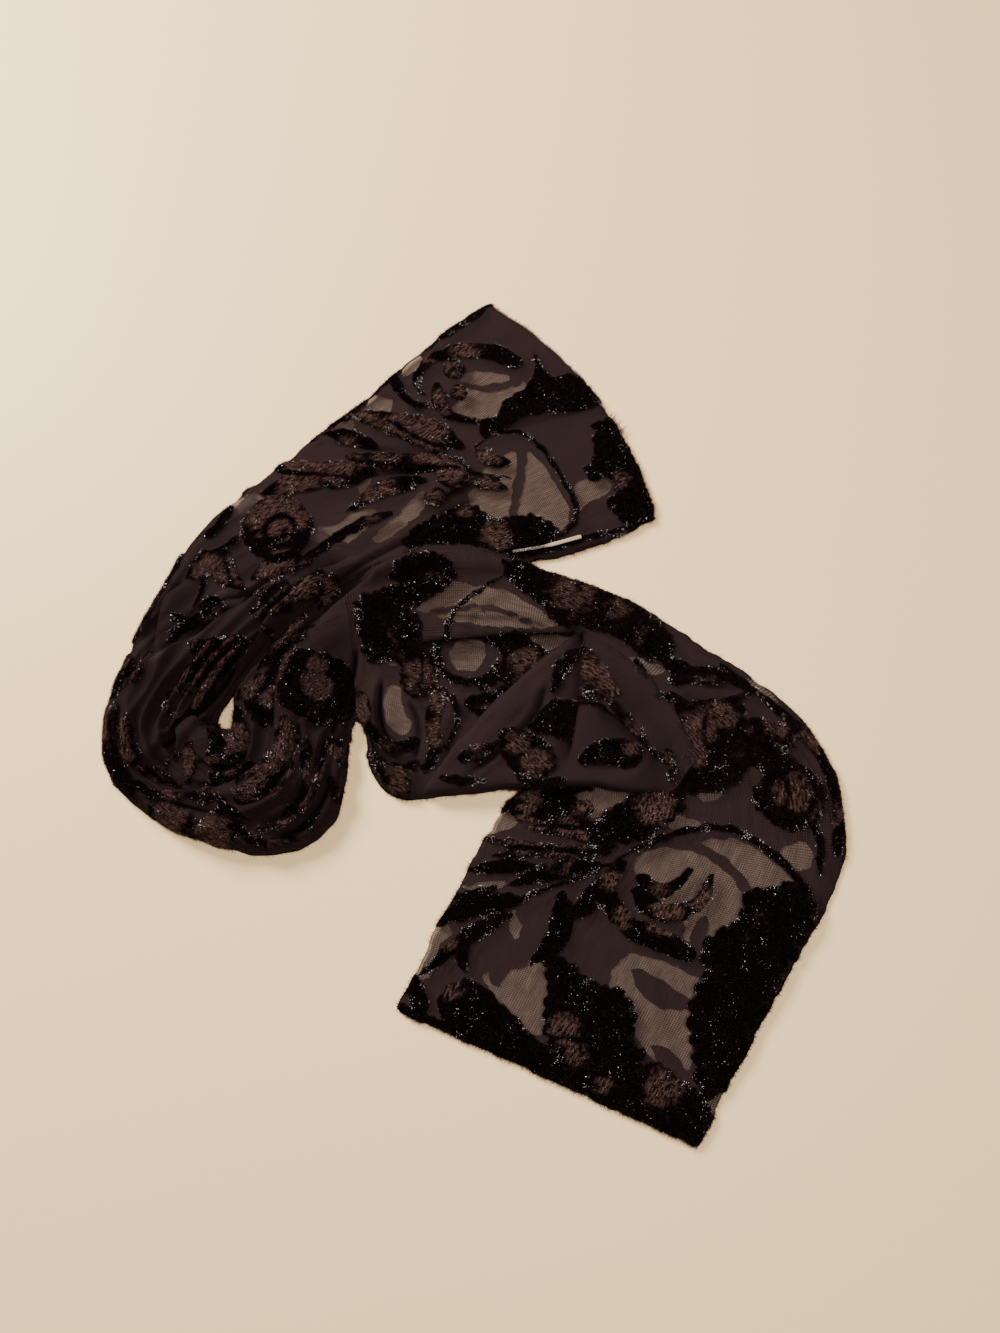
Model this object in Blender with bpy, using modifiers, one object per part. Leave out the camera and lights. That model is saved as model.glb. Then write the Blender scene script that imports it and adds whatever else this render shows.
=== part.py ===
"""A devore velvet scarf, dropped on a flat surface in a loose S with a U-turn.

The scarf is a flat tube of thin cloth, so each flat stretch has an upper and an under wall, and
where it is bunched its upper wall lies on one rounded solid that stands for the layers below.
Every wall is a ruled surface between the scarf's two long edges, raised by named folds, and each
stretch lies on what was laid before it.

Tables and shape functions work in millimetres, with +X to the right, +Y away from the viewer and
the origin under the middle of the scarf's outline. Meshes are made in metres.
"""

import bpy
import bmesh
import numpy as np
from collections import namedtuple

METRE = 0.001
BOX_CENTRE = (-0.22, 0.57, 0.0)
CURVE_STEPS = 12
ROUTE_STEPS = 8
WALL = 1.4
GAP = 0.3
JOINT_TRIM = 0.15
END_CELL = 1.5
END_SHARE = 0.5
SMALLEST_STEP = 0.05
FLAT_CELL = 13.0
BUNCHED_CELL = 8.0
EDGE_CELL = 2.5
EDGE_ROLL = 9.0
LAYER_STEP = WALL + GAP

LABEL_WIDTH = 2.6
LABEL_WALL = 1.0
LABEL_ROWS = 7
LABEL_ROUTE = ((22, 79), (41, 82), (61, 87))

MAP_CELL = 2.0
MAP_HALF_WIDTH = 230.0
MAP_HALF_LENGTH = 260.0
MAP_SAMPLES = 9
CLEARANCE_REACH = 11.0
CLIMB_SOFTNESS = 1
CLIMB_LENGTH = 18.0

# Each row of the rolled edge gives a share of the way down and how far it stands out.
ROLL_PROFILE = ((0.25, 0.8), (0.5, 0.1), (0.75, 0.8), (1.0, 0.0))
TIGHTEST_SPACING = 4.0
CORE_INSET = 1.2
MOST_INSET = 0.5
CORE_END_INSET = 0.3
CORE_SPARE = 0.8
STEEPEST_UPRIGHT = 0.2
SHORTEST = 1e-6
MERGE = 0.0001
THINNEST = 0.7
LAP_REACH = 5.0
LAP_MIDDLE = 0.5
FEWEST_ROWS = 4

Section = namedtuple("Section", "left_x left_y right_x right_y lift rim")
Fold = namedtuple("Fold", "kind height width fade_in fade_out route")

# Left and right are the scarf's long edges as seen by someone who walks along it from end A.
# Lift is how far the upper wall stands off the under one, and rim is how high the hidden layers
# reach at the edge of a bunched stretch.
END_A = (
    Section(104, 99, 9, 236, 0.8, 0),
    Section(72, 84, -21, 213, 1.6, 0),
    Section(41, 75, -53, 183, 1.6, 0),
    Section(9, 71, -85, 155, 2.0, 0),
    Section(-19, 72, -107, 136, 3.0, 0),
    Section(-46, 70, -132, 114, 4.5, 0),
)
RUN = (
    Section(-46, 70, -132, 114, 4.5, 1.4),
    Section(-68, 61, -152, 96, 5.5, 2.4),
    Section(-87, 50, -167, 72, 6.5, 3.2),
    Section(-102, 34, -180, 45, 6.5, 3.6),
    Section(-121, 13, -190, 20, 6.5, 3.8),
    Section(-134, -5, -197, -3, 6.5, 3.8),
    Section(-141, -17, -200, -22, 6.5, 3.8),
)
LOOP = (
    Section(-141, -17, -200, -22, 6.5, 3.8),
    Section(-140.5, -20.5, -197, -43, 6.5, 3.8),
    Section(-139.3, -22.8, -186, -61, 6.5, 3.8),
    Section(-137.7, -24.2, -163, -75, 6.5, 3.8),
    Section(-136, -24.8, -138, -85, 6.5, 3.8),
    Section(-134.2, -24.4, -113, -90, 6.5, 3.8),
    Section(-132.6, -22.6, -90, -86, 6.5, 3.8),
    Section(-131.3, -18.5, -75, -73, 6.5, 3.8),
    Section(-130.5, -12, -70, -54, 6.5, 3.8),
    Section(-128.5, -1.5, -68.5, -40, 6.5, 3.8),
    Section(-119.2, 11.7, -67.8, -31, 6.5, 3.8),
)
GATHER = (
    Section(-119.2, 11.7, -67.8, -31, 6.5, 3.8),
    Section(-103.5, 29, -67.3, -26, 6.0, 3.2),
    Section(-86, 47.8, -66.4, -21, 5.0, 2.2),
    Section(-67, 59, -63.5, -17, 3.6, 1.4),
)
MIDDLE = (
    Section(-67, 59, -63.5, -17, 3.6, 0),
    Section(-57.5, 63.5, -58, -24, 3.6, 0),
    Section(-49, 70.5, -55.5, -41, 3.4, 0),
    Section(-39, 76, -48, -55, 3.2, 0),
    Section(-25, 80, -33, -61, 2.6, 0),
    Section(-2, 80, -10, -58, 2.0, 0),
    Section(21, 74, 8, -56, 1.8, 0),
    Section(46, 66, 16, -54.6, 1.6, 0),
    Section(71, 57, 20, -54, 1.4, 0),
)
TURN = (
    Section(71, 57, 20, -54, 1.4, 0),
    Section(97, 44, 23, -54.4, 1.4, 0),
    Section(121, 28, 24.6, -54.3, 1.4, 0),
    Section(146, 12, 25.6, -54.4, 1.4, 0),
    Section(169, -6, 26.4, -54.6, 1.4, 0),
    Section(185, -25, 27, -55, 1.4, 0),
    Section(196, -47, 27.4, -55.6, 1.4, 0),
    Section(200, -73, 26, -57.6, 1.4, 0),
)
END_B = (
    Section(200, -73, 26, -57.6, 1.4, 0),
    Section(197, -97, 19, -64, 1.6, 0),
    Section(186, -119, 11, -76, 1.6, 0),
    Section(172, -141, 3, -90, 1.6, 0),
    Section(157, -164, -6, -107, 1.4, 0),
    Section(142, -188, -17, -126, 1.4, 0),
    Section(128, -212, -28, -148, 1.2, 0),
    Section(115, -235, -38, -169, 0.8, 0),
)
# The pleat's left edge melts into the cloth at the turn, and its right edge is its free lower edge.
PLEAT = (
    Section(62, 33, -28, -59, 3.0, 2.8),
    Section(74, 25, -8, -58.5, 3.4, 2.8),
    Section(86, 17, 14, -56.5, 3.4, 2.8),
    Section(96, 8, 38, -54, 3.2, 2.8),
    Section(104, -3, 60, -54.5, 2.8, 2.6),
    Section(112, -16, 80, -57.5, 2.2, 2.2),
    Section(119, -29, 98, -57, 1.4, 1.8),
    Section(124, -39, 110, -56.5, 0.8, 1.2),
)

END_A_BULGE = 16.5
PLEAT_BULGE = 7.0
PLEAT_MELT = 30.0
PLEAT_CELL = 11.0
EDGE_STEP = 1.0

# A ridge is raised on both sides of its route, and a lap is raised on the right of its route only,
# where the cloth folds over itself.
RUN_FOLDS = (
    Fold("lap", 5.0, 7.0, 0.5, 0.0, ((-20, 117), (-58, 102), (-95, 71), (-132, 40), (-159, 20), (-183, 1),
                                    (-190, -16), (-187, -30), (-178, -42), (-166, -50))),
    Fold("ridge", 2.5, 9.0, 0.4, 0.2, ((-40, 88), (-75, 76), (-104, 47), (-140, 18), (-160, -8))),
    Fold("ridge", 3.0, 6.0, 0.5, 0.2, ((-142, 103), (-166, 68), (-180, 38), (-190, 12), (-196, -20), (-192, -44),
                                       (-172, -62), (-140, -76), (-112, -80))),
    Fold("ridge", 2.0, 6.0, 0.4, 0.4, ((-100, 110), (-130, 86), (-150, 60), (-164, 34))),
)
LOOP_FOLDS = (
    Fold("lap", 4.5, 7.0, 0.4, 0.3, ((-173, -54), (-155, -60), (-130, -57), (-112, -47), (-104, -30), (-104, -8),
                                    (-99, 12), (-88, 27), (-75, 41), (-61, 58), (-48, 72))),
    Fold("ridge", 4.0, 8.0, 0.3, 0.3, ((-166, -42), (-163, -28), (-150, -19), (-140, -26), (-134, -38))),
    Fold("ridge", 2.6, 5.5, 0.3, 0.3, ((-91, -16), (-95, -40), (-105, -58), (-124, -70))),
    Fold("ridge", 3.0, 5.5, 0.3, 0.3, ((-81, -14), (-83, -46), (-91, -65), (-110, -78))),
    Fold("ridge", 2.4, 5.0, 0.3, 0.3, ((-73, -34), (-75, -50), (-81, -64))),
)
MIDDLE_FOLDS = (
    Fold("lap", 2.4, 6.0, 0.2, 0.2, ((58, 33), (36, 33), (5, 31), (-30, 27), (-60, 20))),
    Fold("ridge", 3.0, 6.0, 0.3, 0.3, ((-48, 14), (-53, -14), (-49, -36), (-38, -48))),
    Fold("ridge", 2.4, 5.0, 0.3, 0.4, ((-38, 16), (-41, -8), (-38, -24), (-28, -34))),
    Fold("ridge", 2.6, 6.0, 0.3, 0.2, ((-6, 6), (-16, -20), (-26, -50))),
    Fold("ridge", 1.6, 8.0, 0.4, 0.4, ((-70, 40), (-40, 56), (0, 62), (40, 55))),
)
PLEAT_FOLDS = (
    Fold("ridge", 4.0, 7.0, 0.1, 0.5, ((60, 30), (63, 12), (62, -6), (54, -30), (44, -50))),
    Fold("ridge", 2.0, 8.0, 0.4, 0.3, ((50, 8), (20, -20), (-12, -48))),
    Fold("ridge", 2.4, 7.0, 0.3, 0.3, ((72, 2), (92, -16), (96, -40), (78, -52))),
)
TURN_FOLDS = (
    Fold("ridge", 1.2, 9.0, 0.4, 0.4, ((60, 48), (100, 30), (136, 4), (160, -30), (168, -66))),
    Fold("ridge", 1.4, 7.0, 0.4, 0.4, ((135, -53), (165, -48), (192, -56))),
)
END_A_FOLDS = (
    Fold("ridge", 1.4, 9.0, 0.4, 0.4, ((88, 118), (40, 104), (-10, 96))),
    Fold("ridge", 1.2, 8.0, 0.4, 0.4, ((20, 200), (-30, 168), (-80, 140))),
)
END_B_FOLDS = (
    Fold("ridge", 1.8, 7.0, 0.3, 0.3, ((190, -84), (172, -130), (146, -172), (118, -220))),
    Fold("ridge", 1.2, 9.0, 0.4, 0.4, ((30, -62), (70, -80), (120, -76), (160, -84))),
    Fold("ridge", 1.0, 10.0, 0.4, 0.4, ((10, -100), (40, -140), (60, -190))),
)

COLOURS = {
    "velvet": (0.030, 0.017, 0.018),
    "velvet_back": (0.042, 0.026, 0.026),
    "label_tape": (0.62, 0.56, 0.47),
}
ROUGHNESS = {"velvet": 0.85, "velvet_back": 0.75, "label_tape": 0.7}

scarf = bpy.data.collections.new("devore_velvet_scarf")


def soft_line(points, places):
    """Points on a soft curve through a few measured ones: so many, evenly spaced, or at given shares."""
    given = np.array(points, float)
    padded = np.vstack([2 * given[0] - given[1], given, 2 * given[-1] - given[-2]])
    along = np.linspace(0, len(given) - 1, CURVE_STEPS * len(given))
    start = np.minimum(along.astype(int), len(given) - 2)
    part = (along - start)[:, None]
    before, here, there, after = (padded[start + k] for k in range(4))
    curve = 0.5 * (
        2 * here
        + (there - before) * part
        + (2 * before - 5 * here + 4 * there - after) * part**2
        + (3 * here - before - 3 * there + after) * part**3
    )
    steps = np.linalg.norm(np.diff(curve[:, :4], axis=0), axis=1)
    length = np.concatenate([[0], np.cumsum(steps)])
    shares = np.linspace(0, 1, places) if isinstance(places, int) else np.array(places)
    return np.stack([np.interp(shares * length[-1], length, column) for column in curve.T], axis=1)


def edge_weighted(width, cell):
    """Positions across a stretch, from 0 to 1, closer together at its two long edges."""
    near = EDGE_CELL / width
    return np.array([0.0, *np.linspace(near, 1 - near, max(FEWEST_ROWS, round(width / cell))), 1.0])


def plan_of(sections, cell, start_bulge=0.0):
    """The stretch's grid of plan points, with each row's lift and rim and each point's edge distance."""
    rough = soft_line(sections, CURVE_STEPS)
    outer = max(
        np.linalg.norm(np.diff(rough[:, :2], axis=0), axis=1).sum(),
        np.linalg.norm(np.diff(rough[:, 2:4], axis=0), axis=1).sum(),
    )
    inner_rows = np.linspace(END_CELL / outer, 1 - END_CELL / outer, max(FEWEST_ROWS, round(outer / cell)))
    rows = soft_line(sections, [0.0, *inner_rows, 1.0])
    widths = np.linalg.norm(rows[:, 2:4] - rows[:, :2], axis=1)
    across = edge_weighted(widths.mean(), cell)
    left, right = rows[:, None, :2], rows[:, None, 2:4]
    grid = left + (right - left) * across[None, :, None]
    fade = np.linspace(1, 0, len(rows))[:, None]
    swell = 4 * across * (1 - across)
    chord = rows[0, 2:4] - rows[0, :2]
    outward = np.array([chord[1], -chord[0]]) / np.linalg.norm(chord)
    grid += (start_bulge * fade * swell)[..., None] * -outward * np.sign(turn_side(rows))
    square_ends(grid)
    draw_back_ends(grid, JOINT_TRIM)
    distance = np.minimum(across, 1 - across)[None, :] * widths[:, None]
    return grid, rows[:, 4:5], rows[:, 5:6], distance


def level_ends(surface):
    """Keeps each end row as high as the next, so that walls meet upright at a joint."""
    surface[0, :, 2] = surface[1, :, 2]
    surface[-1, :, 2] = surface[-2, :, 2]


def turn_side(rows):
    """Which way the outward side of the first row's chord points, as +1 or -1."""
    chord = rows[0, 2:4] - rows[0, :2]
    ahead = rows[1, :4].reshape(2, 2).mean(axis=0) - rows[0, :4].reshape(2, 2).mean(axis=0)
    return chord[1] * ahead[0] - chord[0] * ahead[1]


def inward_from(grid, end, neighbour):
    """The unit direction square to an end row's chord that points at the rest of the stretch."""
    chord = grid[end, -1, :2] - grid[end, 0, :2]
    square = np.array([chord[1], -chord[0]]) / np.linalg.norm(chord)
    ahead = (grid[neighbour, :, :2] - grid[end, :, :2]).mean(axis=0)
    return square * np.sign(square @ ahead)


def square_ends(grid):
    """Sets the row next to each end straight in from it, so that walls meet squarely at a joint."""
    for end, second, third in ((0, 1, 2), (-1, -2, -3)):
        inward = inward_from(grid, end, third)
        room = (grid[third, :, :2] - grid[end, :, :2]) @ inward
        step = np.clip(room * END_SHARE, SMALLEST_STEP, END_CELL)
        grid[second, :, :2] = grid[end, :, :2] + step[:, None] * inward


def draw_back_ends(grid, amount):
    """Moves the two rows at each end away from the stretch that comes next."""
    for end, second, third in ((0, 1, 2), (-1, -2, -3)):
        grid[(end, second), :, :2] += amount * inward_from(grid, end, third)


def beside(route, points):
    """Each point's signed distance from a route, positive on its right, and how far along it lies."""
    line = soft_line(route, ROUTE_STEPS * len(route))
    starts, steps = line[:-1], np.diff(line, axis=0)
    offset = points[..., None, :] - starts
    share = np.clip((offset * steps).sum(-1) / (steps**2).sum(-1), 0, 1)
    miss = offset - share[..., None] * steps
    gaps = np.linalg.norm(miss, axis=-1)
    nearest = gaps.argmin(axis=-1)
    pick = np.take_along_axis
    best = pick(gaps, nearest[..., None], -1)[..., 0]
    cross = steps[..., 0] * offset[..., 1] - steps[..., 1] * offset[..., 0]
    side = -np.sign(pick(cross, nearest[..., None], -1)[..., 0])
    along = (nearest + pick(share, nearest[..., None], -1)[..., 0]) / len(steps)
    return best * np.where(side == 0, 1, side), along


def soft_step(value):
    value = np.clip(value, 0, 1)
    return value * value * (3 - 2 * value)


def raised_by(fold, points):
    """The height that one fold adds at each plan point."""
    aside, along = beside(fold.route, points)
    fade = soft_step(along / max(fold.fade_in, SHORTEST))
    fade *= soft_step((1 - along) / max(fold.fade_out, SHORTEST))
    if fold.kind == "ridge":
        return fold.height * fade * np.exp(-((aside / fold.width) ** 2))
    reach = LAP_REACH * fold.width
    rise = soft_step(aside / fold.width + LAP_MIDDLE)
    shoulder = rise * (1 - soft_step((aside - fold.width) / reach))
    return fold.height * fade * shoulder


def relief(folds, points):
    return sum((raised_by(fold, points) for fold in folds), np.zeros(points.shape[:-1]))


def rounded(distance):
    """0 at a long edge, rising as a quarter round to 1."""
    away = np.clip(distance / EDGE_ROLL, 0, 1)
    return np.sqrt(1 - (1 - away) ** 2)


def cells_of(plan):
    """The small square of the surface that each plan point lies over."""
    x = ((plan[..., 0] + MAP_HALF_WIDTH) / MAP_CELL).astype(int)
    y = ((plan[..., 1] + MAP_HALF_LENGTH) / MAP_CELL).astype(int)
    return x, y


def height_map(surface):
    """How high a wall's upper face reaches over each small square, sampled finely between its points."""
    top = np.zeros((round(2 * MAP_HALF_WIDTH / MAP_CELL), round(2 * MAP_HALF_LENGTH / MAP_CELL)))
    fine = np.linspace(0, 1, MAP_SAMPLES)
    for u in fine:
        for v in fine:
            patch = (
                surface[:-1, :-1] * (1 - u) * (1 - v)
                + surface[1:, :-1] * u * (1 - v)
                + surface[:-1, 1:] * (1 - u) * v
                + surface[1:, 1:] * u * v
            )
            np.maximum.at(top, cells_of(patch), patch[..., 2])
    return top


def support_under(plan, below):
    """A soft blanket over what was laid before, read at each plan point."""
    if not below:
        return np.zeros(plan.shape[:2])
    top = np.maximum.reduce(below)
    reach = round(CLEARANCE_REACH / MAP_CELL)
    blanket = top.copy()
    for dx in range(-reach, reach + 1):
        for dy in range(-reach, reach + 1):
            if dx * dx + dy * dy <= reach * reach:
                blanket = np.maximum(blanket, np.roll(top, (dx, dy), (0, 1)))
    for _ in range(CLIMB_SOFTNESS):
        blanket = sum(np.roll(blanket, shift, axis) for axis in (0, 1) for shift in (-1, 0, 1)) / 6
    return blanket[cells_of(plan)]


def normals_of(surface):
    """Unit normals of a grid of points, all pointing up."""
    normal = np.cross(np.gradient(surface, axis=0), np.gradient(surface, axis=1))
    normal *= np.where(normal[..., 2:] < 0, -1, 1)
    return normal / np.linalg.norm(normal, axis=-1, keepdims=True)


def moved_out(surface, distance):
    return surface + normals_of(surface) * distance


def material_for(name):
    existing = bpy.data.materials.get(name)
    if existing:
        return existing
    material = bpy.data.materials.new(name)
    material.use_nodes = True
    shader = material.node_tree.nodes["Principled BSDF"]
    shader.inputs["Base Color"].default_value = (*COLOURS[name], 1)
    shader.inputs["Roughness"].default_value = ROUGHNESS[name]
    shader.inputs["Metallic"].default_value = 0
    return material


def add_object(name, shape, material):
    """Turns a bmesh in millimetres into a named object in metres, centred on the outline's box."""
    bmesh.ops.translate(shape, vec=[-offset for offset in BOX_CENTRE], verts=shape.verts)
    bmesh.ops.scale(shape, vec=(METRE, METRE, METRE), verts=shape.verts)
    bmesh.ops.recalc_face_normals(shape, faces=shape.faces)
    mesh = bpy.data.meshes.new(name)
    shape.to_mesh(mesh)
    shape.free()
    mesh.shade_smooth()
    mesh.materials.append(material_for(material))
    piece = bpy.data.objects.new(name, mesh)
    scarf.objects.link(piece)
    return piece


def grid_faces(shape, surface):
    """Adds a grid of points to a bmesh and joins them with four-sided faces."""
    verts = [[shape.verts.new(point) for point in row] for row in surface.tolist()]
    for row, next_row in zip(verts, verts[1:]):
        for a, b, c, d in zip(row, row[1:], next_row[1:], next_row):
            shape.faces.new((a, b, c, d))
    return verts


def add_wall(name, surface, material, wall=WALL):
    """A cloth wall of even thickness, centred on a surface."""
    shape = bmesh.new()
    grid_faces(shape, surface)
    piece = add_object(name, shape, material)
    solidify = piece.modifiers.new("cloth_thickness", "SOLIDIFY")
    solidify.thickness = wall * METRE
    solidify.offset = 0
    return piece


def steepest_upright(surface):
    """At each grid point, the smallest vertical part of the unit normals of the faces that meet there."""
    across = surface[1:, 1:] - surface[:-1, :-1]
    along = surface[1:, :-1] - surface[:-1, 1:]
    normal = np.cross(across, along)
    upright = np.abs(normal[..., 2]) / np.linalg.norm(normal, axis=-1)
    padded = np.pad(upright, 1, constant_values=1)
    return np.minimum.reduce([padded[:-1, :-1], padded[1:, :-1], padded[:-1, 1:], padded[1:, 1:]])


def border_of(rows):
    """A grid's outer values in order, once round."""
    last_column = [row[-1] for row in rows[1:-1]]
    first_column = [row[0] for row in reversed(rows[1:-1])]
    return [*rows[0], *last_column, *reversed(rows[-1]), *first_column]


def hidden_top(surface, rim, floor):
    """The upper face of the layers below a bunched wall, just clear of the wall."""
    top = surface.copy()
    clear = WALL / 2 + GAP + CORE_SPARE
    top[..., 2] -= clear / np.maximum(steepest_upright(surface), STEEPEST_UPRIGHT)
    top[..., 2] = np.maximum(top[..., 2], floor + THINNEST)
    top[:, (0, -1), 2] = rim
    for edge, neighbour in ((0, 1), (-1, -2)):
        inward = top[:, neighbour, :2] - top[:, edge, :2]
        reach = np.linalg.norm(inward, axis=1, keepdims=True)
        top[:, edge, :2] += inward * np.minimum(CORE_INSET / np.maximum(reach, SHORTEST), MOST_INSET)
    draw_back_ends(top, CORE_END_INSET)
    return top


def close_underside(shape, ring, rows, columns):
    """Fills a flat underside with one face from long edge to long edge for each row."""
    right = ring[columns - 1 : columns + rows - 1]
    left = [ring[0], *reversed(ring[2 * columns + rows - 2 :])]
    start, finish = ring[:columns], ring[columns + rows - 2 : 2 * columns + rows - 2]
    shape.faces.new([*start, right[1], left[1]])
    for k in range(1, rows - 2):
        shape.faces.new((left[k], right[k], right[k + 1], left[k + 1]))
    shape.faces.new([left[-1], right[rows - 2], *finish])


def add_hidden_folds(name, surface, rim, floor=None):
    """One rounded solid for the layers below a bunched wall, with rolled layers at its long edges.

    It stands flat on the surface, or on a floor of heights where it lies on other stretches.
    """
    top = hidden_top(surface, rim, 0 if floor is None else floor)
    shape = bmesh.new()
    ring = border_of(grid_faces(shape, top))
    outline = np.array([vert.co[:] for vert in ring])
    tangent = np.roll(outline, -1, axis=0)[:, :2] - np.roll(outline, 1, axis=0)[:, :2]
    outward = np.stack([tangent[:, 1], -tangent[:, 0]], axis=1)
    outward /= np.linalg.norm(outward, axis=1, keepdims=True)
    area = np.cross(outline[:, :2], np.roll(outline[:, :2], -1, axis=0)).sum()
    rolls = np.zeros(surface.shape[:2])
    rolls[1:-1, (0, -1)] = np.sign(area)
    outward *= np.array(border_of(rolls.tolist()))[:, None]
    spacing = np.linalg.norm(tangent, axis=1, keepdims=True) / 2
    outward *= np.minimum(spacing / TIGHTEST_SPACING, 1)
    foot = np.zeros(len(ring)) if floor is None else np.array(border_of(floor.tolist()))
    for depth, bulge in ROLL_PROFILE:
        level = outline.copy()
        level[:, :2] += outward * bulge
        level[:, 2] += (foot - outline[:, 2]) * depth
        next_ring = [shape.verts.new(point) for point in level.tolist()]
        for k, vert in enumerate(ring):
            after = (k + 1) % len(ring)
            shape.faces.new((vert, ring[after], next_ring[after], next_ring[k]))
        ring = next_ring
    if floor is None:
        close_underside(shape, ring, *surface.shape[:2])
    else:
        below = np.dstack([top[..., :2], floor])
        grid_faces(shape, below)
        bmesh.ops.remove_doubles(shape, verts=shape.verts, dist=MERGE)
    return add_object(name, shape, "velvet_back")


def lay_flat_stretch(name, sections, folds, below=(), cell=FLAT_CELL, start_bulge=0.0):
    """A flat stretch of the tube: its under wall lies on what is below and its upper wall on that."""
    plan, lift, _, distance = plan_of(sections, cell, start_bulge)
    walked = np.linalg.norm(plan - plan[:1], axis=-1).mean(axis=1, keepdims=True)
    ground = support_under(plan, below) * soft_step(walked / CLIMB_LENGTH)
    under = np.dstack([plan, ground + GAP * soft_step(ground) + WALL / 2])
    upper = moved_out(under, LAYER_STEP)
    upper[..., 2] += (lift + relief(folds, plan)) * rounded(distance)
    level_ends(under)
    level_ends(upper)
    add_wall(f"{name}_under", under, "velvet_back")
    add_wall(f"{name}_upper", upper, "velvet")
    return height_map(moved_out(upper, WALL / 2))


def lay_bunched_stretch(name, sections, folds):
    """A bunched stretch: one wall with long folds, over a rounded solid of hidden layers."""
    plan, lift, rim, distance = plan_of(sections, BUNCHED_CELL)
    height = rim + GAP + WALL / 2 + (lift + relief(folds, plan)) * rounded(distance)
    upper = np.dstack([plan, height])
    level_ends(upper)
    add_wall(f"{name}_upper", upper, "velvet")
    add_hidden_folds(f"{name}_hidden_folds", upper, rim)
    return height_map(moved_out(upper, WALL / 2))


def lay_pleat(below):
    """The wedge where the turn's spare cloth laps back: free at its start and lower edge only."""
    plan, lift, rim, _ = plan_of(PLEAT, PLEAT_CELL, PLEAT_BULGE)
    from_start = np.linalg.norm(plan - plan[:1], axis=-1)
    from_edge = np.linalg.norm(plan - plan[:, -1:], axis=-1)
    from_turn = np.linalg.norm(plan - plan[:, :1], axis=-1)
    floor = support_under(plan, below) + GAP
    layers = np.maximum(rim * soft_step(from_turn / PLEAT_MELT), THINNEST)
    free = rounded(np.minimum(from_start + EDGE_STEP, from_edge)) * soft_step(from_turn / PLEAT_MELT)
    height = floor + layers + GAP + WALL / 2 + (lift + relief(PLEAT_FOLDS, plan)) * free
    upper = np.dstack([plan, height])
    add_wall("pleat_upper", upper, "velvet")
    add_hidden_folds("pleat_hidden_folds", upper, (floor + layers)[:, (0, -1)], floor)


def lay_label(below):
    """The blank tape that shows along the long seam."""
    line = soft_line(LABEL_ROUTE, LABEL_ROWS)
    step = np.gradient(line, axis=0)
    aside = np.stack([-step[:, 1], step[:, 0]], axis=1) / np.linalg.norm(step, axis=1, keepdims=True)
    plan = line[:, None] + aside[:, None] * np.array([-0.5, 0.5])[None, :, None] * LABEL_WIDTH
    height = support_under(plan, below) + GAP + LABEL_WALL / 2
    add_wall("label_tape", np.dstack([plan, height]), "label_tape", LABEL_WALL)


def clear_scene():
    for existing in list(bpy.data.objects):
        bpy.data.objects.remove(existing)


def build():
    clear_scene()
    bpy.context.scene.collection.children.link(scarf)
    end_a = lay_flat_stretch("end_a", END_A, END_A_FOLDS + RUN_FOLDS, start_bulge=END_A_BULGE)
    run = lay_bunched_stretch("run", RUN, RUN_FOLDS)
    lay_bunched_stretch("loop", LOOP, RUN_FOLDS + LOOP_FOLDS)
    lay_bunched_stretch("gather", GATHER, LOOP_FOLDS + MIDDLE_FOLDS)
    middle_folds = LOOP_FOLDS + MIDDLE_FOLDS + TURN_FOLDS
    middle = lay_flat_stretch("middle", MIDDLE, middle_folds, (end_a, run), cell=BUNCHED_CELL)
    turn = lay_flat_stretch("turn", TURN, TURN_FOLDS)
    end_b = lay_flat_stretch("end_b", END_B, TURN_FOLDS + END_B_FOLDS)
    lay_pleat((middle, turn, end_b))
    lay_label((end_a,))


build()
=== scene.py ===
"""The look of a devore velvet scarf that lies in a loose S on a flat surface.

The scarf is a flat tube of brown-black silk chiffon with a velvet pile left standing in leaf, scroll
and flower shapes. Where both layers of the tube are bare the surface shows through; where the lower
layer has pile its back shows as smooth brown; and the upper layer's pile is near black with brown
lights and small glints.

Tables are in millimetres in the plan, with +X to the right and +Y away from the viewer.
"""
import math
from collections import namedtuple

import bpy
import numpy as np
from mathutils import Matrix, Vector


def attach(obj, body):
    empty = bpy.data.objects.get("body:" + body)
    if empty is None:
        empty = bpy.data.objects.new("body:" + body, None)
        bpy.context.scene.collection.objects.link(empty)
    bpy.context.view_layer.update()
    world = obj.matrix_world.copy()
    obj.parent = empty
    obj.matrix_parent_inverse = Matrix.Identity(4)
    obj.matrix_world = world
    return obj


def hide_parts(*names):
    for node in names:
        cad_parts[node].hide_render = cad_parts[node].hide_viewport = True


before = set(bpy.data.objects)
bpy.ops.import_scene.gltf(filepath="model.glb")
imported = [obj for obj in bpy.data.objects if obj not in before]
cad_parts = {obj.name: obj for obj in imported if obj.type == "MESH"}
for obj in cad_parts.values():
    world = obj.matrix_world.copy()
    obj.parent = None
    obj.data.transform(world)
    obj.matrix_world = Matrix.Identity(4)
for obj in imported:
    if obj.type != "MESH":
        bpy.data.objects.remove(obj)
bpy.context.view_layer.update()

MM = 0.001
TINY = 1e-6
BOX_CENTRE = np.array([-0.22, 0.57, 0.0])  # of the tables' plan, so that the scarf lies in the middle

# The grid of the cloth
ROW_STEP = 1.8
UPPER_COLUMNS = 100
UNDER_COLUMNS = 44
PLEAT_ROW_STEP = 1.7
PLEAT_COLUMNS = 75

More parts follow.
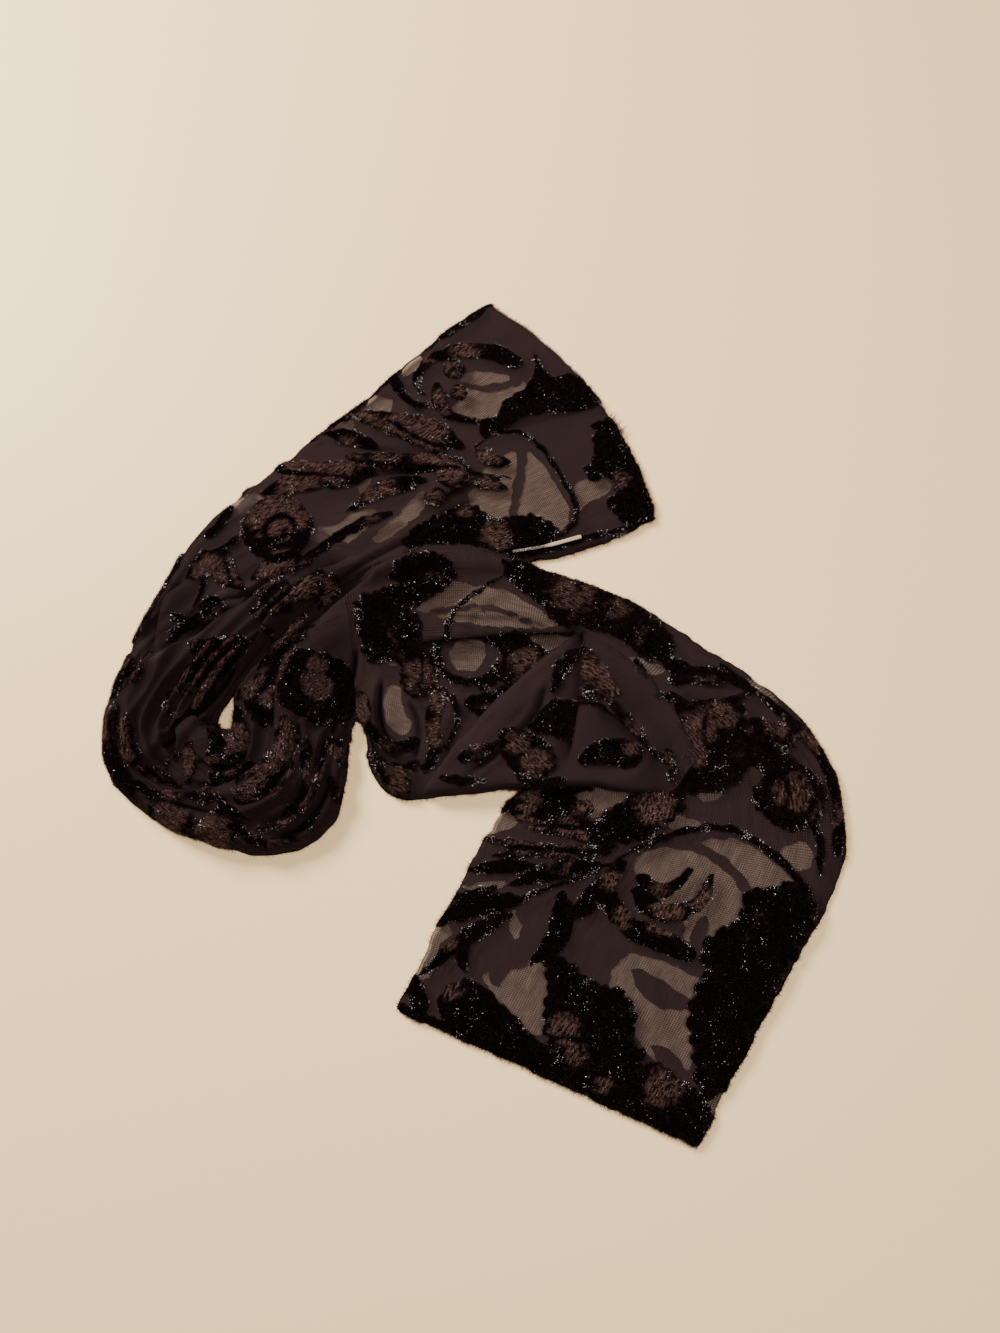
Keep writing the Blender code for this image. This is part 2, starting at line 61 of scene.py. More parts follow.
# Heights and roundings of the cloth
FLAT_WIDTH = 167
EDGE_HEIGHT = 1.1
UNDER_HEIGHT = 0.9
UPPER_BASE = 1.0
LEAST_STAND = 0.4
EDGE_ROLL = 9.0
HEM_ROLL = 3.5
HEM_OPENING = 0.04
HEM_RIPPLE = 12.0
FLAT_RIM = 1.4
BUNCHED_RIM_RISE = 2.4
CREASE_HEIGHT = 3.0
CREASE_PITCH = 13
SWELL_HEIGHT = 0.3
SWELL_PITCH = 30
LAP_ROUND = 3.5
LAP_OVERHANG = 3.6
LAYER_BELOW = 1.9
SURFACE_GAP = 0.25

# The pile: its height, the slope at a shape's edge, and its tufts
PILE_HEIGHT = 0.9
UNDER_PILE_HEIGHT = 0.5
PILE_EDGE = 0.3
PILE_SLOPE = 1.3
TUFT_COUNT = 110000
PLEAT_TUFT_COUNT = 60000
TUFT_LENGTH = 1.4
TUFT_WIDTH = 0.2
STROKE_PITCH = 1.9
RIM_DEPTH = 1.4
GLINT_COUNT = 8000
PLEAT_GLINT_COUNT = 700
THREAD_COUNT = 34

# The materials' patterns: thread spacing as drawn, in millimetres, and how many grains of noise there are
# to a millimetre, across and along the cloth where there are two numbers
WARP_SPACING = 1.25
WEFT_SPACING = 1.05
WEAVE_DRIFT = 0.045
WATERED_BANDS = (0.62, 0.09)
BROWN_STROKES = (0.9, 0.26)
RAGGED_EDGE = 1.5
TAPE_LINT = 1.4

# How dark the painted shade in the closed folds and the bunched stretches is, and how strong the painted
# brown highlight on the crests
BUNCHED_DARK = 0.3
CREST_REACH = 5
CREST_GLOW = 0.58

# Where the photograph was taken from, in metres over the scarf's middle, and its tilt from straight down
CAMERA_SPOT = (0.0152, -0.1036, 0.545)
CAMERA_TILT = 12
CAMERA_LENS = 27.0

# How far outside a shape of the pattern its distance is still measured
PATTERN_REACH = 4.0

# Seeds of the wandering edges of each layer's pattern
UPPER_SEED = 81
UNDER_SEED = 91
TONGUE_SEED = 95
rng = np.random.default_rng(12)

Section = namedtuple("Section", "left_x left_y right_x right_y lift rim")
Fold = namedtuple("Fold", "kind height width fade_in fade_out route")
Leaf = namedtuple("Leaf", "x0 y0 x1 y1 width bend")
Vine = namedtuple("Vine", "width_start width_end points")
Disc = namedtuple("Disc", "x y radius")
Patch = namedtuple("Patch", "scallop points")
Glow = namedtuple("Glow", "x y radius strength")

# The scarf from end A's hem to end B's hem. Left and right are its long edges as someone who walks
# along it sees them, lift is how far the upper cloth stands off the lower one, and rim is the height
# of the hidden layers at the edge.
END_A = (
    Section(104, 99, 9, 236, 0.8, 1.4),
    Section(72, 84, -21, 213, 1.6, 1.4),
    Section(41, 75, -53, 183, 1.6, 1.4),
    Section(9, 71, -85, 155, 2.0, 1.4),
    Section(-19, 72, -107, 136, 3.0, 1.4),
    Section(-46, 70, -132, 114, 4.5, 1.4),
)
RUN = (
    Section(-68, 61, -152, 96, 5.5, 2.4),
    Section(-87, 50, -167, 72, 6.5, 3.2),
    Section(-102, 34, -180, 45, 6.5, 3.6),
    Section(-121, 13, -190, 20, 6.5, 3.8),
    Section(-134, -5, -197, -3, 6.5, 3.8),
    Section(-141, -17, -200, -22, 6.5, 3.8),
)
LOOP = (
    Section(-140.5, -20.5, -197, -43, 6.5, 3.8),
    Section(-139.3, -22.8, -186, -61, 6.5, 3.8),
    Section(-137.7, -24.2, -163, -75, 6.5, 3.8),
    Section(-136, -24.8, -138, -85, 6.5, 3.8),
    Section(-134.2, -24.4, -113, -90, 6.5, 3.8),
    Section(-132.6, -22.6, -90, -86, 6.5, 3.8),
    Section(-131.3, -18.5, -75, -73, 6.5, 3.8),
    Section(-131.5, -11, -70, -54, 6.5, 3.8),
    Section(-130, 1, -68.5, -40, 6.5, 3.8),
    Section(-121.5, 14, -67.8, -31, 6.5, 3.8),
)
GATHER = (
    Section(-105, 33, -67.3, -26, 6.0, 3.2),
    Section(-87.5, 51, -66.4, -21, 5.0, 2.2),
    Section(-68, 62, -63.5, -17, 3.6, 1.4),
)
MIDDLE = (
    Section(-58.5, 66.5, -58, -24, 3.6, 1.4),
    Section(-49, 70.5, -55.5, -41, 3.4, 1.4),
    Section(-39, 76, -48, -55, 3.2, 1.4),
    Section(-25, 80, -33, -61, 2.6, 1.4),
    Section(-2, 80, -10, -58, 2.0, 1.4),
    Section(21, 74, 8, -56, 1.8, 1.4),
    Section(46, 66, 16, -54.6, 1.6, 1.4),
    Section(71, 57, 20, -54, 1.4, 1.4),
)
TURN = (
    Section(97, 44, 23, -54.4, 1.4, 1.4),
    Section(121, 28, 24.6, -54.3, 1.4, 1.4),
    Section(146, 12, 25.6, -54.4, 1.4, 1.4),
    Section(169, -6, 26.4, -54.6, 1.4, 1.4),
    Section(185, -25, 27, -55, 1.4, 1.4),
    Section(196, -47, 27.4, -55.6, 1.4, 1.4),
    Section(200, -73, 26, -57.6, 1.4, 1.4),
)
END_B = (
    Section(197, -97, 19, -64, 1.6, 1.4),
    Section(186, -119, 11, -76, 1.6, 1.4),
    Section(172, -141, 3, -90, 1.6, 1.4),
    Section(157, -164, -6, -107, 1.4, 1.4),
    Section(142, -188, -17, -126, 1.4, 1.4),
    Section(128, -212, -28, -148, 1.2, 1.4),
    Section(115, -235, -38, -169, 0.8, 1.4),
)
PLEAT = (
    Section(62, 33, -28, -59, 3.0, 2.8),
    Section(74, 25, -8, -58.5, 3.4, 2.8),
    Section(86, 17, 14, -56.5, 3.4, 2.8),
    Section(96, 8, 38, -54, 3.2, 2.8),
    Section(104, -3, 60, -54.5, 2.8, 2.6),
    Section(112, -16, 80, -57.5, 2.2, 2.2),
    Section(119, -29, 98, -57, 1.4, 1.8),
    Section(124, -39, 110, -56.5, 0.8, 1.2),
)
STRETCHES = {
    "end_a": END_A, "run": RUN, "loop": LOOP, "gather": GATHER,
    "middle": MIDDLE, "turn": TURN, "end_b": END_B,
}
# The stretches' numbers, counted from end A; the bunched ones run from the run to the gather
END_A_NO, RUN_NO, GATHER_NO, MIDDLE_NO, TURN_NO, END_B_NO = 0, 1, 3, 4, 5, 6

# How far the rows at end A and of the pleat bow outwards, and over what length the pleat and the middle rise
END_A_BULGE = 16.5
PLEAT_BULGE = 7.0
PLEAT_RISE = 30.0
CLIMB_LENGTH = 18.0

# A ridge is raised on both sides of its route and a crease is sunk in it; a lap is raised on the right of
# its route only, where the cloth folds over itself.
FOLDS = {
    ("end_a", "run", "loop"): (
        Fold("lap", 8.0, 8.0, 0.1, 0.4, ((-166, -50), (-178, -42), (-187, -30), (-190, -16), (-182, 2),
                                         (-163, 17), (-147, 27), (-137, 35), (-124, 45), (-100, 64),
                                         (-76, 84), (-50, 99))),
        Fold("lap", 4.0, 5.0, 0.2, 0.3, ((-122, 16), (-111, 34), (-98, 48), (-84, 62), (-66, 76))),
        Fold("crease", 4.4, 2.4, 0.2, 0.2, ((-168, -38), (-158, -25), (-146, -13), (-136, 0), (-127, 14))),
        Fold("lap", 4.5, 4.0, 0.3, 0.2, ((-178, -2), (-173, 14), (-170, 28), (-168, 44), (-158, 62))),
        Fold("crease", 2.6, 2.0, 0.3, 0.1, ((-162, 88), (-176, 60), (-184, 36), (-190, 12), (-193, -14),
                                            (-190, -36), (-182, -48))),
        Fold("crease", 4.2, 2.2, 0.1, 0.1, ((-186, -10), (-186, -26), (-180, -40), (-168, -50),
                                            (-152, -56))),
        Fold("ridge", 4.0, 6.0, 0.5, 0.2, ((-142, 103), (-166, 68), (-180, 38), (-190, 12), (-196, -20),
                                           (-192, -44), (-172, -62), (-140, -76), (-112, -80))),
        Fold("crease", 3.6, 2.0, 0.2, 0.3, ((-176, -60), (-160, -64), (-140, -68), (-120, -70))),
        Fold("lap", 3.6, 4.0, 0.3, 0.3, ((-122, -30), (-128, -40), (-140, -40), (-152, -30))),
        Fold("crease", 2.2, 2.0, 0.2, 0.2, ((-150, 40), (-138, 48), (-122, 52), (-112, 60), (-96, 70))),
        Fold("ridge", 2.4, 6.0, 0.3, 0.3, ((-2, 121), (-28, 103), (-54, 84))),
        Fold("crease", 2.0, 2.0, 0.2, 0.3, ((4, 113), (-16, 100), (-36, 86), (-62, 70), (-84, 52))),
    ),
    ("loop", "gather", "middle"): (
        Fold("lap", 8.0, 7.0, 0.3, 0.2, ((-173, -54), (-155, -60), (-136, -57), (-118, -51), (-107, -40),
                                         (-103, -24), (-103, -6), (-100, 12), (-90, 26), (-75, 43),
                                         (-60, 60), (-48, 74))),
        Fold("lap", 4.0, 4.0, 0.2, 0.2, ((-163, -28), (-154, -20), (-142, -24), (-134, -36))),
        Fold("crease", 4.2, 2.0, 0.2, 0.3, ((-128, -66), (-110, -60), (-99, -48), (-93, -30), (-92, -14))),
        Fold("ridge", 3.6, 4.0, 0.3, 0.3, ((-86, -20), (-89, -40), (-97, -58), (-114, -72))),
        Fold("crease", 4.2, 2.0, 0.2, 0.3, ((-116, -77), (-98, -70), (-87, -54), (-80, -38), (-78, -22))),
        Fold("crease", 3.4, 2.0, 0.2, 0.3, ((-104, -83), (-90, -76), (-79, -62), (-74, -44))),
        Fold("crease", 3.6, 2.0, 0.2, 0.2, ((-116, -16), (-111, 2), (-104, 20), (-92, 36))),
        Fold("crease", 2.0, 1.8, 0.2, 0.2, ((-109, -2), (-105, 12), (-98, 26), (-84, 44))),
        Fold("crease", 2.4, 2.0, 0.2, 0.2, ((-64, 24), (-66, 6), (-72, -12), (-76, -30))),
    ),
    ("gather", "middle"): (
        Fold("lap", 3.4, 5.0, 0.1, 0.1, ((60, 33), (36, 33), (5, 31), (-30, 27), (-62, 20))),
        Fold("ridge", 3.0, 5.0, 0.3, 0.3, ((-50, 14), (-55, -8), (-53, -28), (-42, -42))),
        Fold("crease", 2.4, 2.0, 0.2, 0.2, ((-50, 8), (-50, -16), (-44, -30), (-30, -36))),
        Fold("ridge", 2.4, 4.0, 0.3, 0.4, ((-30, 12), (-34, -8), (-30, -26), (-24, -40))),
        Fold("crease", 2.0, 2.0, 0.2, 0.2, ((-36, -6), (-29, -22), (-32, -44))),
        Fold("lap", 2.4, 3.0, 0.2, 0.2, ((-58, -22), (-54, -38), (-42, -47), (-26, -48))),
        Fold("ridge", 2.6, 5.0, 0.3, 0.2, ((-4, 2), (-14, -20), (-24, -46))),
        Fold("crease", 1.8, 2.0, 0.2, 0.2, ((-26, 44), (-2, 40), (24, 40), (44, 36))),
        Fold("ridge", 1.6, 8.0, 0.4, 0.4, ((-70, 40), (-40, 56), (0, 62), (40, 55))),
    ),
    ("middle", "turn", "end_b"): (
        Fold("ridge", 1.6, 7.0, 0.4, 0.4, ((60, 48), (100, 30), (136, 4), (160, -30), (168, -66))),
        Fold("crease", 1.2, 2.0, 0.3, 0.3, ((106, 10), (126, 2), (148, -2))),
        Fold("crease", 1.2, 2.0, 0.3, 0.3, ((110, -4), (130, -8), (152, -8))),
        Fold("crease", 1.4, 2.0, 0.3, 0.3, ((152, -22), (170, -34), (182, -52), (186, -78))),
        Fold("ridge", 1.4, 5.0, 0.4, 0.4, ((135, -53), (165, -48), (192, -56))),
    ),
    ("end_a",): (
        Fold("ridge", 1.4, 9.0, 0.4, 0.4, ((88, 118), (40, 104), (-10, 96))),
        Fold("ridge", 1.8, 6.0, 0.4, 0.4, ((20, 200), (-30, 168), (-80, 140))),
        Fold("crease", 1.6, 2.0, 0.3, 0.4, ((-8, 135), (-36, 139), (-66, 142), (-92, 146))),
        Fold("crease", 1.6, 2.0, 0.3, 0.4, ((-10, 129), (-40, 126), (-76, 124), (-108, 128))),
        Fold("lap", 2.0, 3.0, 0.3, 0.3, ((-4, 134), (-8, 122), (-20, 112), (-34, 112))),
        Fold("crease", 1.2, 2.0, 0.3, 0.3, ((70, 165), (44, 160), (18, 153), (0, 146))),
    ),
    ("end_b",): (
        Fold("ridge", 1.8, 7.0, 0.3, 0.3, ((190, -84), (172, -130), (146, -172), (118, -220))),
        Fold("ridge", 1.2, 9.0, 0.4, 0.4, ((30, -62), (70, -80), (120, -76), (160, -84))),
        Fold("ridge", 1.2, 8.0, 0.4, 0.4, ((10, -100), (40, -140), (60, -190))),
        Fold("crease", 0.8, 3.0, 0.4, 0.4, ((96, -140), (100, -170), (108, -206))),
    ),
}
PLEAT_FOLDS = (
    Fold("lap", 3.0, 6.0, 0.4, 0.02, ((48, -48), (56, -30), (61, -8), (63, 14), (62, 33))),
    Fold("ridge", 2.0, 6.0, 0.2, 0.3, ((50, 12), (20, -16), (-12, -46))),
    Fold("crease", 2.0, 2.0, 0.2, 0.3, ((40, 2), (34, -16), (14, -36), (-10, -54))),
    Fold("lap", 2.0, 4.0, 0.2, 0.3, ((104, -42), (92, -27), (78, -14), (66, -10))),
    Fold("ridge", 2.0, 5.0, 0.3, 0.3, ((90, -20), (96, -36), (84, -50), (58, -52))),
)

# Pile on the upper cloth: first end A, the run, the loop and the gather.
PILE_A = (
    Vine(3, 13, ((-30, 174), (-34, 185), (-26, 197), (-12, 203), (2, 203.5), (14, 201), (24, 196))),
    Disc(-12, 191, 6.5),
    Disc(-9, 176, 5),
    Vine(9, 4, ((-22, 180), (-20, 168), (-12, 161), (2, 158))),
    Vine(6, 3, ((-48, 188), (-43, 176), (-34, 168), (-25, 168))),
    Vine(4, 5, ((9, 235), (-6, 222), (-22, 212), (-30, 205))),
    Vine(5, 7, ((-44, 192), (-58, 180), (-74, 164), (-84, 156))),
    Patch(0, ((34, 210), (38, 196), (46, 187), (58, 189), (68, 181), (77, 172), (62, 165), (40, 163),
              (22, 157), (10, 148), (3, 150), (5, 160), (13, 161), (18, 172), (28, 178), (35, 190))),
    Leaf(16, 166, 34, 180, 6, 2),
    Vine(2.4, 3.4, ((0, 142), (11, 150), (25, 151), (37, 144), (46, 131), (54, 117), (59, 103), (55, 92),
                    (45, 87))),
    Leaf(0, 140, 22, 132, 9, 2),
    Leaf(-6, 127, 24, 122, 3.5, 1),
    Leaf(0, 118, 20, 116, 7, -2),
    Patch(4, ((72, 155), (84, 157), (87, 146), (92, 136), (97, 122), (102, 103), (90, 97), (82, 104),
              (84, 114), (80, 126), (66, 125), (72, 138))),
    Leaf(84, 112, 76, 104, 6, 1),
    Patch(3, ((-38, 84), (-26, 95), (-16, 99), (-8, 104), (2, 103), (9, 95), (22, 97), (34, 98), (46, 91),
              (38, 81), (20, 76), (-8, 75), (-30, 78))),
    Vine(4, 3, ((18, 76), (42, 80), (62, 86), (84, 92), (101, 98))),
    Leaf(-6, 141, -48, 161, 12, 3),
    Leaf(-16, 139, -76, 164, 14, 4),
    Leaf(-56, 141, -88, 151, 9, 2),
    Leaf(-6, 133, -76, 136, 12, -2),
    Leaf(-56, 127, -118, 130, 17, -4),
    Leaf(-80, 122, -122, 112, 13, 2),
    Leaf(-26, 122, -73, 101, 10, 5),
    Disc(-14, 126, 8.5),
    Disc(-22, 111, 6.5),
    Disc(-5, 124, 5.5),
    Vine(6, 4, ((-92, 150), (-106, 141), (-122, 126), (-136, 112))),
    Disc(-111, 91, 20),
    Vine(8, 6, ((-100, 64), (-84, 80), (-66, 93), (-48, 101))),
    Vine(5, 6, ((-138, 104), (-144, 92), (-150, 86))),
    Vine(4, 3, ((-150, 74), (-140, 78), (-132, 86))),
    Leaf(-136, 76, -160, 59, 14, 2),
    Leaf(-142, 76, -127, 54, 14, 4),
    Leaf(-96, 74, -124, 60, 13, 2),
    Vine(8, 7, ((-187, 26), (-181, 40), (-174, 58), (-164, 74))),
    Vine(3.5, 3, ((-150, 60), (-151, 51), (-153, 43))),
    Disc(-143, 43, 7),
    Vine(6, 6, ((-162, 38), (-154, 33), (-145, 36))),
    Patch(0, ((-121, 54), (-110, 60), (-101, 57), (-98, 47), (-101, 39), (-110, 36), (-121, 38),
              (-116, 46))),
    Leaf(-82, 62, -99, 44, 11, 2),
    Leaf(-75, 62, -86, 43, 8, 0),
    Leaf(-92, 42, -103, 20, 6, 1),
    Leaf(-84, 34, -96, 16, 5, 0),
    Patch(0, ((-160, 1), (-156, 8), (-150, 12), (-152, 20), (-140, 24), (-128, 27), (-121, 22), (-131, 10),
              (-138, 2), (-148, -1))),
    Vine(3.5, 3.5, ((-153, -5), (-159, -3), (-165, -8), (-163, -15), (-156, -17), (-152, -12))),
    Vine(13, 12, ((-189, 14), (-193, -8), (-194, -30), (-190, -46), (-181, -57))),
    Vine(7, 8, ((-184, -20), (-181, -34), (-174, -45), (-162, -51))),
    Vine(8, 7, ((-142, 0), (-147, -8), (-152, -18))),
    Vine(2.4, 2.4, ((-156, -36), (-163, -42), (-164, -50), (-158, -54), (-150, -52))),
    Leaf(-150, -30, -150, -54, 10, 1),
    Leaf(-141, -20, -136, -44, 9, -2),
    Patch(3, ((-170, -64), (-158, -67), (-146, -72), (-146, -80), (-158, -78), (-168, -72))),
    Disc(-132, -77, 10),
    Vine(5, 5, ((-122, -74), (-118, -82), (-106, -84), (-94, -82))),
    Disc(-130, -32, 6),
    Leaf(-128, -12, -122, -40, 9, -1),
    Leaf(-129, -9, -118, 4, 4, 0),
    Patch(3, ((-121, 0), (-112, 5), (-107, -4), (-106, -16), (-114, -20), (-120, -12))),
    Disc(-111, 14, 5),
    Vine(5, 3, ((-112, 30), (-106, 22), (-108, 12))),
    Patch(0, ((-137, -42), (-126, -41), (-114, -44), (-117, -50), (-130, -54), (-140, -55))),
    Patch(3, ((-122, -62), (-114, -60), (-106, -54), (-103, -46), (-106, -40), (-112, -48), (-120, -54))),
    Vine(8, 6, ((-98, -20), (-98, -34), (-100, -46), (-106, -56))),
    Vine(7, 7, ((-88, -32), (-86, -48), (-88, -60), (-100, -74))),
    Leaf(-78, -28, -70, -44, 9, -2),
    Leaf(-76, -48, -72, -64, 5, 0),
    Leaf(-184, -28, -172, -44, 5, -1),
    Vine(5, 4, ((-180, -52), (-168, -59), (-152, -61), (-138, -58))),
    Leaf(-158, -58, -128, -62, 6, 2),
    Leaf(-150, 40, -166, 22, 6, 1),
    Vine(4, 3, ((-172, 18), (-176, 4), (-186, -6))),
    Leaf(-106, 26, -118, 8, 6, -1),
    Leaf(-96, 34, -106, 12, 6, 1),
    Vine(4, 3, ((-104, -60), (-96, -50), (-93, -34), (-94, -24))),
    Vine(4, 4, ((-112, -78), (-96, -72), (-84, -58), (-79, -42))),
    Leaf(-134, -64, -116, -72, 6, 1),
    Leaf(-92, -78, -80, -68, 5, 1),
    Patch(0, ((-99, 12), (-88, 18), (-74, 15), (-64, 6), (-64, -14), (-76, -23), (-90, -20), (-100, -10))),
)
# Then the middle, the turn and end B.
PILE_B = (
    Patch(3, ((-62, 46), (-60, 28), (-48, 23), (-34, 26), (-30, 36), (-38, 44), (-30, 50), (-20, 56),
              (-12, 64), (-20, 73), (-36, 72), (-44, 64), (-38, 58), (-48, 54))),
    Leaf(-62, 22, -40, 16, 6, 2),
    Patch(3, ((18, 70), (40, 66), (70, 57), (92, 45), (106, 32), (109, 20), (98, 17), (86, 28), (74, 33),
              (60, 37), (46, 40), (40, 49), (28, 57))),
    Vine(2.4, 3.4, ((17, 64), (4, 56), (-6, 48), (-13, 38), (-15, 28))),
    Vine(3.5, 4.5, ((-16, 31), (-20, 19), (-14, 7), (-2, 3), (9, 6), (13, 14))),
    Patch(0, ((6, 26), (12, 32), (24, 35), (31, 29), (34, 21), (26, 20), (18, 24))),
    Vine(6, 4, ((14, 26), (19, 16), (14, 6), (4, 0))),
    Leaf(20, 14, 42, 20, 12, -3),
    Leaf(16, 3, 44, 13, 6, -4),
    Vine(5, 7, ((24, 2), (10, -5), (-2, -8))),
    Patch(3, ((-36, 18), (-26, 20), (-21, 12), (-24, 0), (-34, -4), (-38, 8))),
    Leaf(-34, -2, -26, 0, 5, 0),
    Vine(4, 8, ((-60, -4), (-58, -18), (-51, -29), (-40, -34), (-31, -30))),
    Vine(3, 5, ((-63, -18), (-60, -32), (-50, -42), (-38, -44), (-30, -42))),
    Vine(9, 6, ((-17, -2), (-22, -18), (-20, -34), (-26, -46))),
    Vine(4, 3, ((-12, -4), (-8, -18), (-14, -34))),
    Vine(3, 5, ((-2, -12), (8, -14), (20, -12))),
    Leaf(-2, -28, 14, -36, 9, 2),
    Disc(-40, -53, 6),
    Vine(3, 3, ((-56, -40), (-46, -52), (-34, -58))),
    Vine(3, 5, ((-58, 14), (-46, 17), (-36, 12))),
    Leaf(-62, -2, -56, -22, 10, 1),
    Vine(4, 4, ((-16, -54), (0, -54), (12, -52))),
    Patch(4, ((114, -9), (124, -12), (140, -9), (147, -18), (143, -34), (131, -43), (117, -43), (119, -30),
              (115, -20))),
    Patch(0, ((86, -50), (96, -47), (106, -40), (120, -47), (134, -44), (146, -38), (150, -44), (138, -56),
              (120, -58), (100, -60), (88, -58))),
    Leaf(104, 16, 140, 4, 10, 3),
    Leaf(106, 2, 150, 3, 9, -5),
    Leaf(118, -8, 156, -2, 6, 4),
    Leaf(150, -18, 186, -24, 10, 4),
    Leaf(136, 14, 162, -6, 6, 2),
    Leaf(150, -26, 176, -34, 7, -3),
    Vine(6, 4, ((101, -5), (108, -5), (115, -6))),
    Leaf(90, 17, 97, 3, 6, 1),
    Patch(3, ((148, -28), (158, -28), (166, -36), (178, -44), (188, -56), (185, -70), (170, -76),
              (158, -68), (152, -58), (160, -48), (150, -38))),
    Vine(6, 7, ((160, -6), (180, -24), (192, -44), (197, -66), (194, -90))),
    Vine(5, 3, ((180, -70), (186, -84), (184, -100))),
    Vine(3.4, 4, ((82, -90), (96, -84), (110, -79), (126, -76), (142, -78), (156, -87), (168, -97),
                  (175, -109), (177, -120))),
    Leaf(78, -87, 28, -76, 10, 4),
    Leaf(76, -89, 3, -81, 7.5, -3),
    Leaf(60, -91, 10, -91, 6, 2),
    Leaf(34, -96, -4, -99, 8, 1),
    Leaf(70, -95, 18, -107, 10, 2),
    Leaf(14, -107, -14, -113, 7, -2),
    Leaf(30, -113, -25, -128, 11, 3),
    Vine(1.8, 2.4, ((82, -90), (66, -99), (46, -106), (26, -113))),
    Leaf(22, -120, -27, -153, 8.5, 3),
    Leaf(-2, -128, -3, -153, 7, 2),
    Leaf(48, -108, 29, -148, 12.5, -8),
    Leaf(70, -101, 47, -125, 11, -4),
    Vine(10, 4, ((90, -103), (97, -109), (107, -107), (116, -98))),
    Vine(12, 5, ((88, -110), (97, -119), (110, -120), (122, -113), (127, -101))),
    Vine(8, 13, ((80, -95), (72, -106), (74, -117), (84, -128), (98, -134), (113, -141))),
    Patch(5, ((150, -112), (162, -110), (174, -108), (177, -122), (170, -134), (160, -148), (152, -164),
              (146, -182), (136, -196), (125, -208), (118, -205), (117, -190), (115, -174), (119, -160),
              (125, -150), (123, -140), (131, -132), (143, -126), (145, -116))),
    Vine(7, 7, ((-36, -168), (-16, -178), (14, -191), (46, -204), (76, -218), (112, -232))),
    Patch(0, ((-17, -168), (-14, -159), (-5, -154), (6, -157), (16, -166), (26, -176), (38, -187),
              (50, -196), (64, -206), (44, -205), (14, -194), (-8, -181))),
    Patch(4, ((40, -145), (50, -147), (56, -154), (66, -159), (77, -162), (82, -172), (80, -184),
              (86, -192), (80, -202), (70, -208), (62, -203), (52, -194), (42, -184), (40, -170),
              (43, -158))),
    Patch(3, ((72, -212), (86, -202), (94, -196), (104, -204), (116, -212), (120, -224), (112, -233),
              (90, -225))),
    Leaf(-34, -148, -24, -180, 9, -2),
    Patch(3, ((22, -54), (15, -63), (28, -70), (44, -69), (54, -62), (48, -54), (36, -52))),
    Vine(3, 3, ((46, -60), (52, -70), (62, -76), (70, -72))),
    Leaf(40, -74, 70, -78, 7, -3),
    Disc(60, -66, 5),
    Patch(4, ((80, -66), (92, -60), (104, -57), (113, -61), (106, -70), (94, -78), (78, -82), (70, -74))),
    Leaf(50, -58, 64, -51, 8, -1),
    Vine(5, 4, ((54, -53), (64, -56))),
    Vine(2.4, 2, ((96, -84), (88, -76), (84, -66))),
)
PILE_PLEAT = (
    Patch(0, ((63, 26), (67, 20), (72, 12), (77, 4), (79, -5), (70, -4), (63, -2))),
    Vine(3.4, 4, ((60, -8), (68, -6), (76, -8), (85, -17), (94, -28), (103, -40))),
    Vine(2.4, 2, ((60, -11), (68, -10), (76, -14))),
    Patch(0, ((34, -18), (44, -8), (57, -9), (58, -20), (54, -30), (42, -28), (30, -24))),
    Patch(3, ((17, -26), (27, -27), (40, -34), (42, -44), (32, -49), (22, -43), (17, -34))),
    Patch(0, ((57, -43), (62, -34), (74, -29), (86, -30), (92, -37), (86, -45), (72, -43))),
    Leaf(58, 22, 43, -6, 8, 2),
    Vine(4, 5, ((24, -50), (34, -54), (48, -51))),
    Vine(3, 4, ((100, -36), (108, -42), (106, -50))),
    Leaf(-8, -40, 14, -30, 8, 2),
    Leaf(-18, -50, 8, -52, 5, 1),
    Disc(105, -38, 4),
)

# Where the lower cloth is bare too, so that the surface below shows through.
BARE_A = (
    Patch(0, ((-14, 186), (0, 192), (16, 190), (27, 187), (32, 180), (24, 175), (18, 171), (14, 161),
              (0, 162), (-14, 166), (-8, 176), (-4, 184))),
    Patch(0, ((4, 127), (14, 137), (28, 142), (39, 134), (47, 120), (55, 105), (52, 94), (42, 92),
              (34, 99), (10, 101), (-1, 107), (-3, 115), (2, 121))),
    Patch(0, ((58, 120), (64, 124), (78, 125), (79, 117), (66, 109), (59, 104))),
    Patch(0, ((-88, 101), (-72, 103), (-56, 105), (-62, 93), (-82, 79), (-89, 88))),
    Patch(0, ((-60, 176), (-48, 173), (-52, 164), (-64, 168))),
    Patch(0, ((-130, 114), (-116, 119), (-108, 113), (-124, 106), (-138, 98), (-146, 92), (-142, 104))),
    Leaf(-60, 126, -66, 114, 7, 1),
    Patch(0, ((-26, 112), (-34, 100), (-52, 86), (-58, 88), (-44, 102), (-32, 116))),
    Leaf(-26, 200, -44, 188, 6, 1),
    Leaf(-70, 158, -82, 154, 8, 1),
    Leaf(-92, 132, -106, 130, 6, 1),
    Leaf(92, 118, 96, 108, 6, 0),
    Leaf(-124, 56, -146, 50, 5, 1),
    Leaf(-148, 28, -170, 32, 5, -2),
    Leaf(-128, 44, -140, 47, 5, 1),
    Disc(-173, 15, 4),
    Disc(-187, 12, 3),
    Disc(-184, 26, 2.4),
)
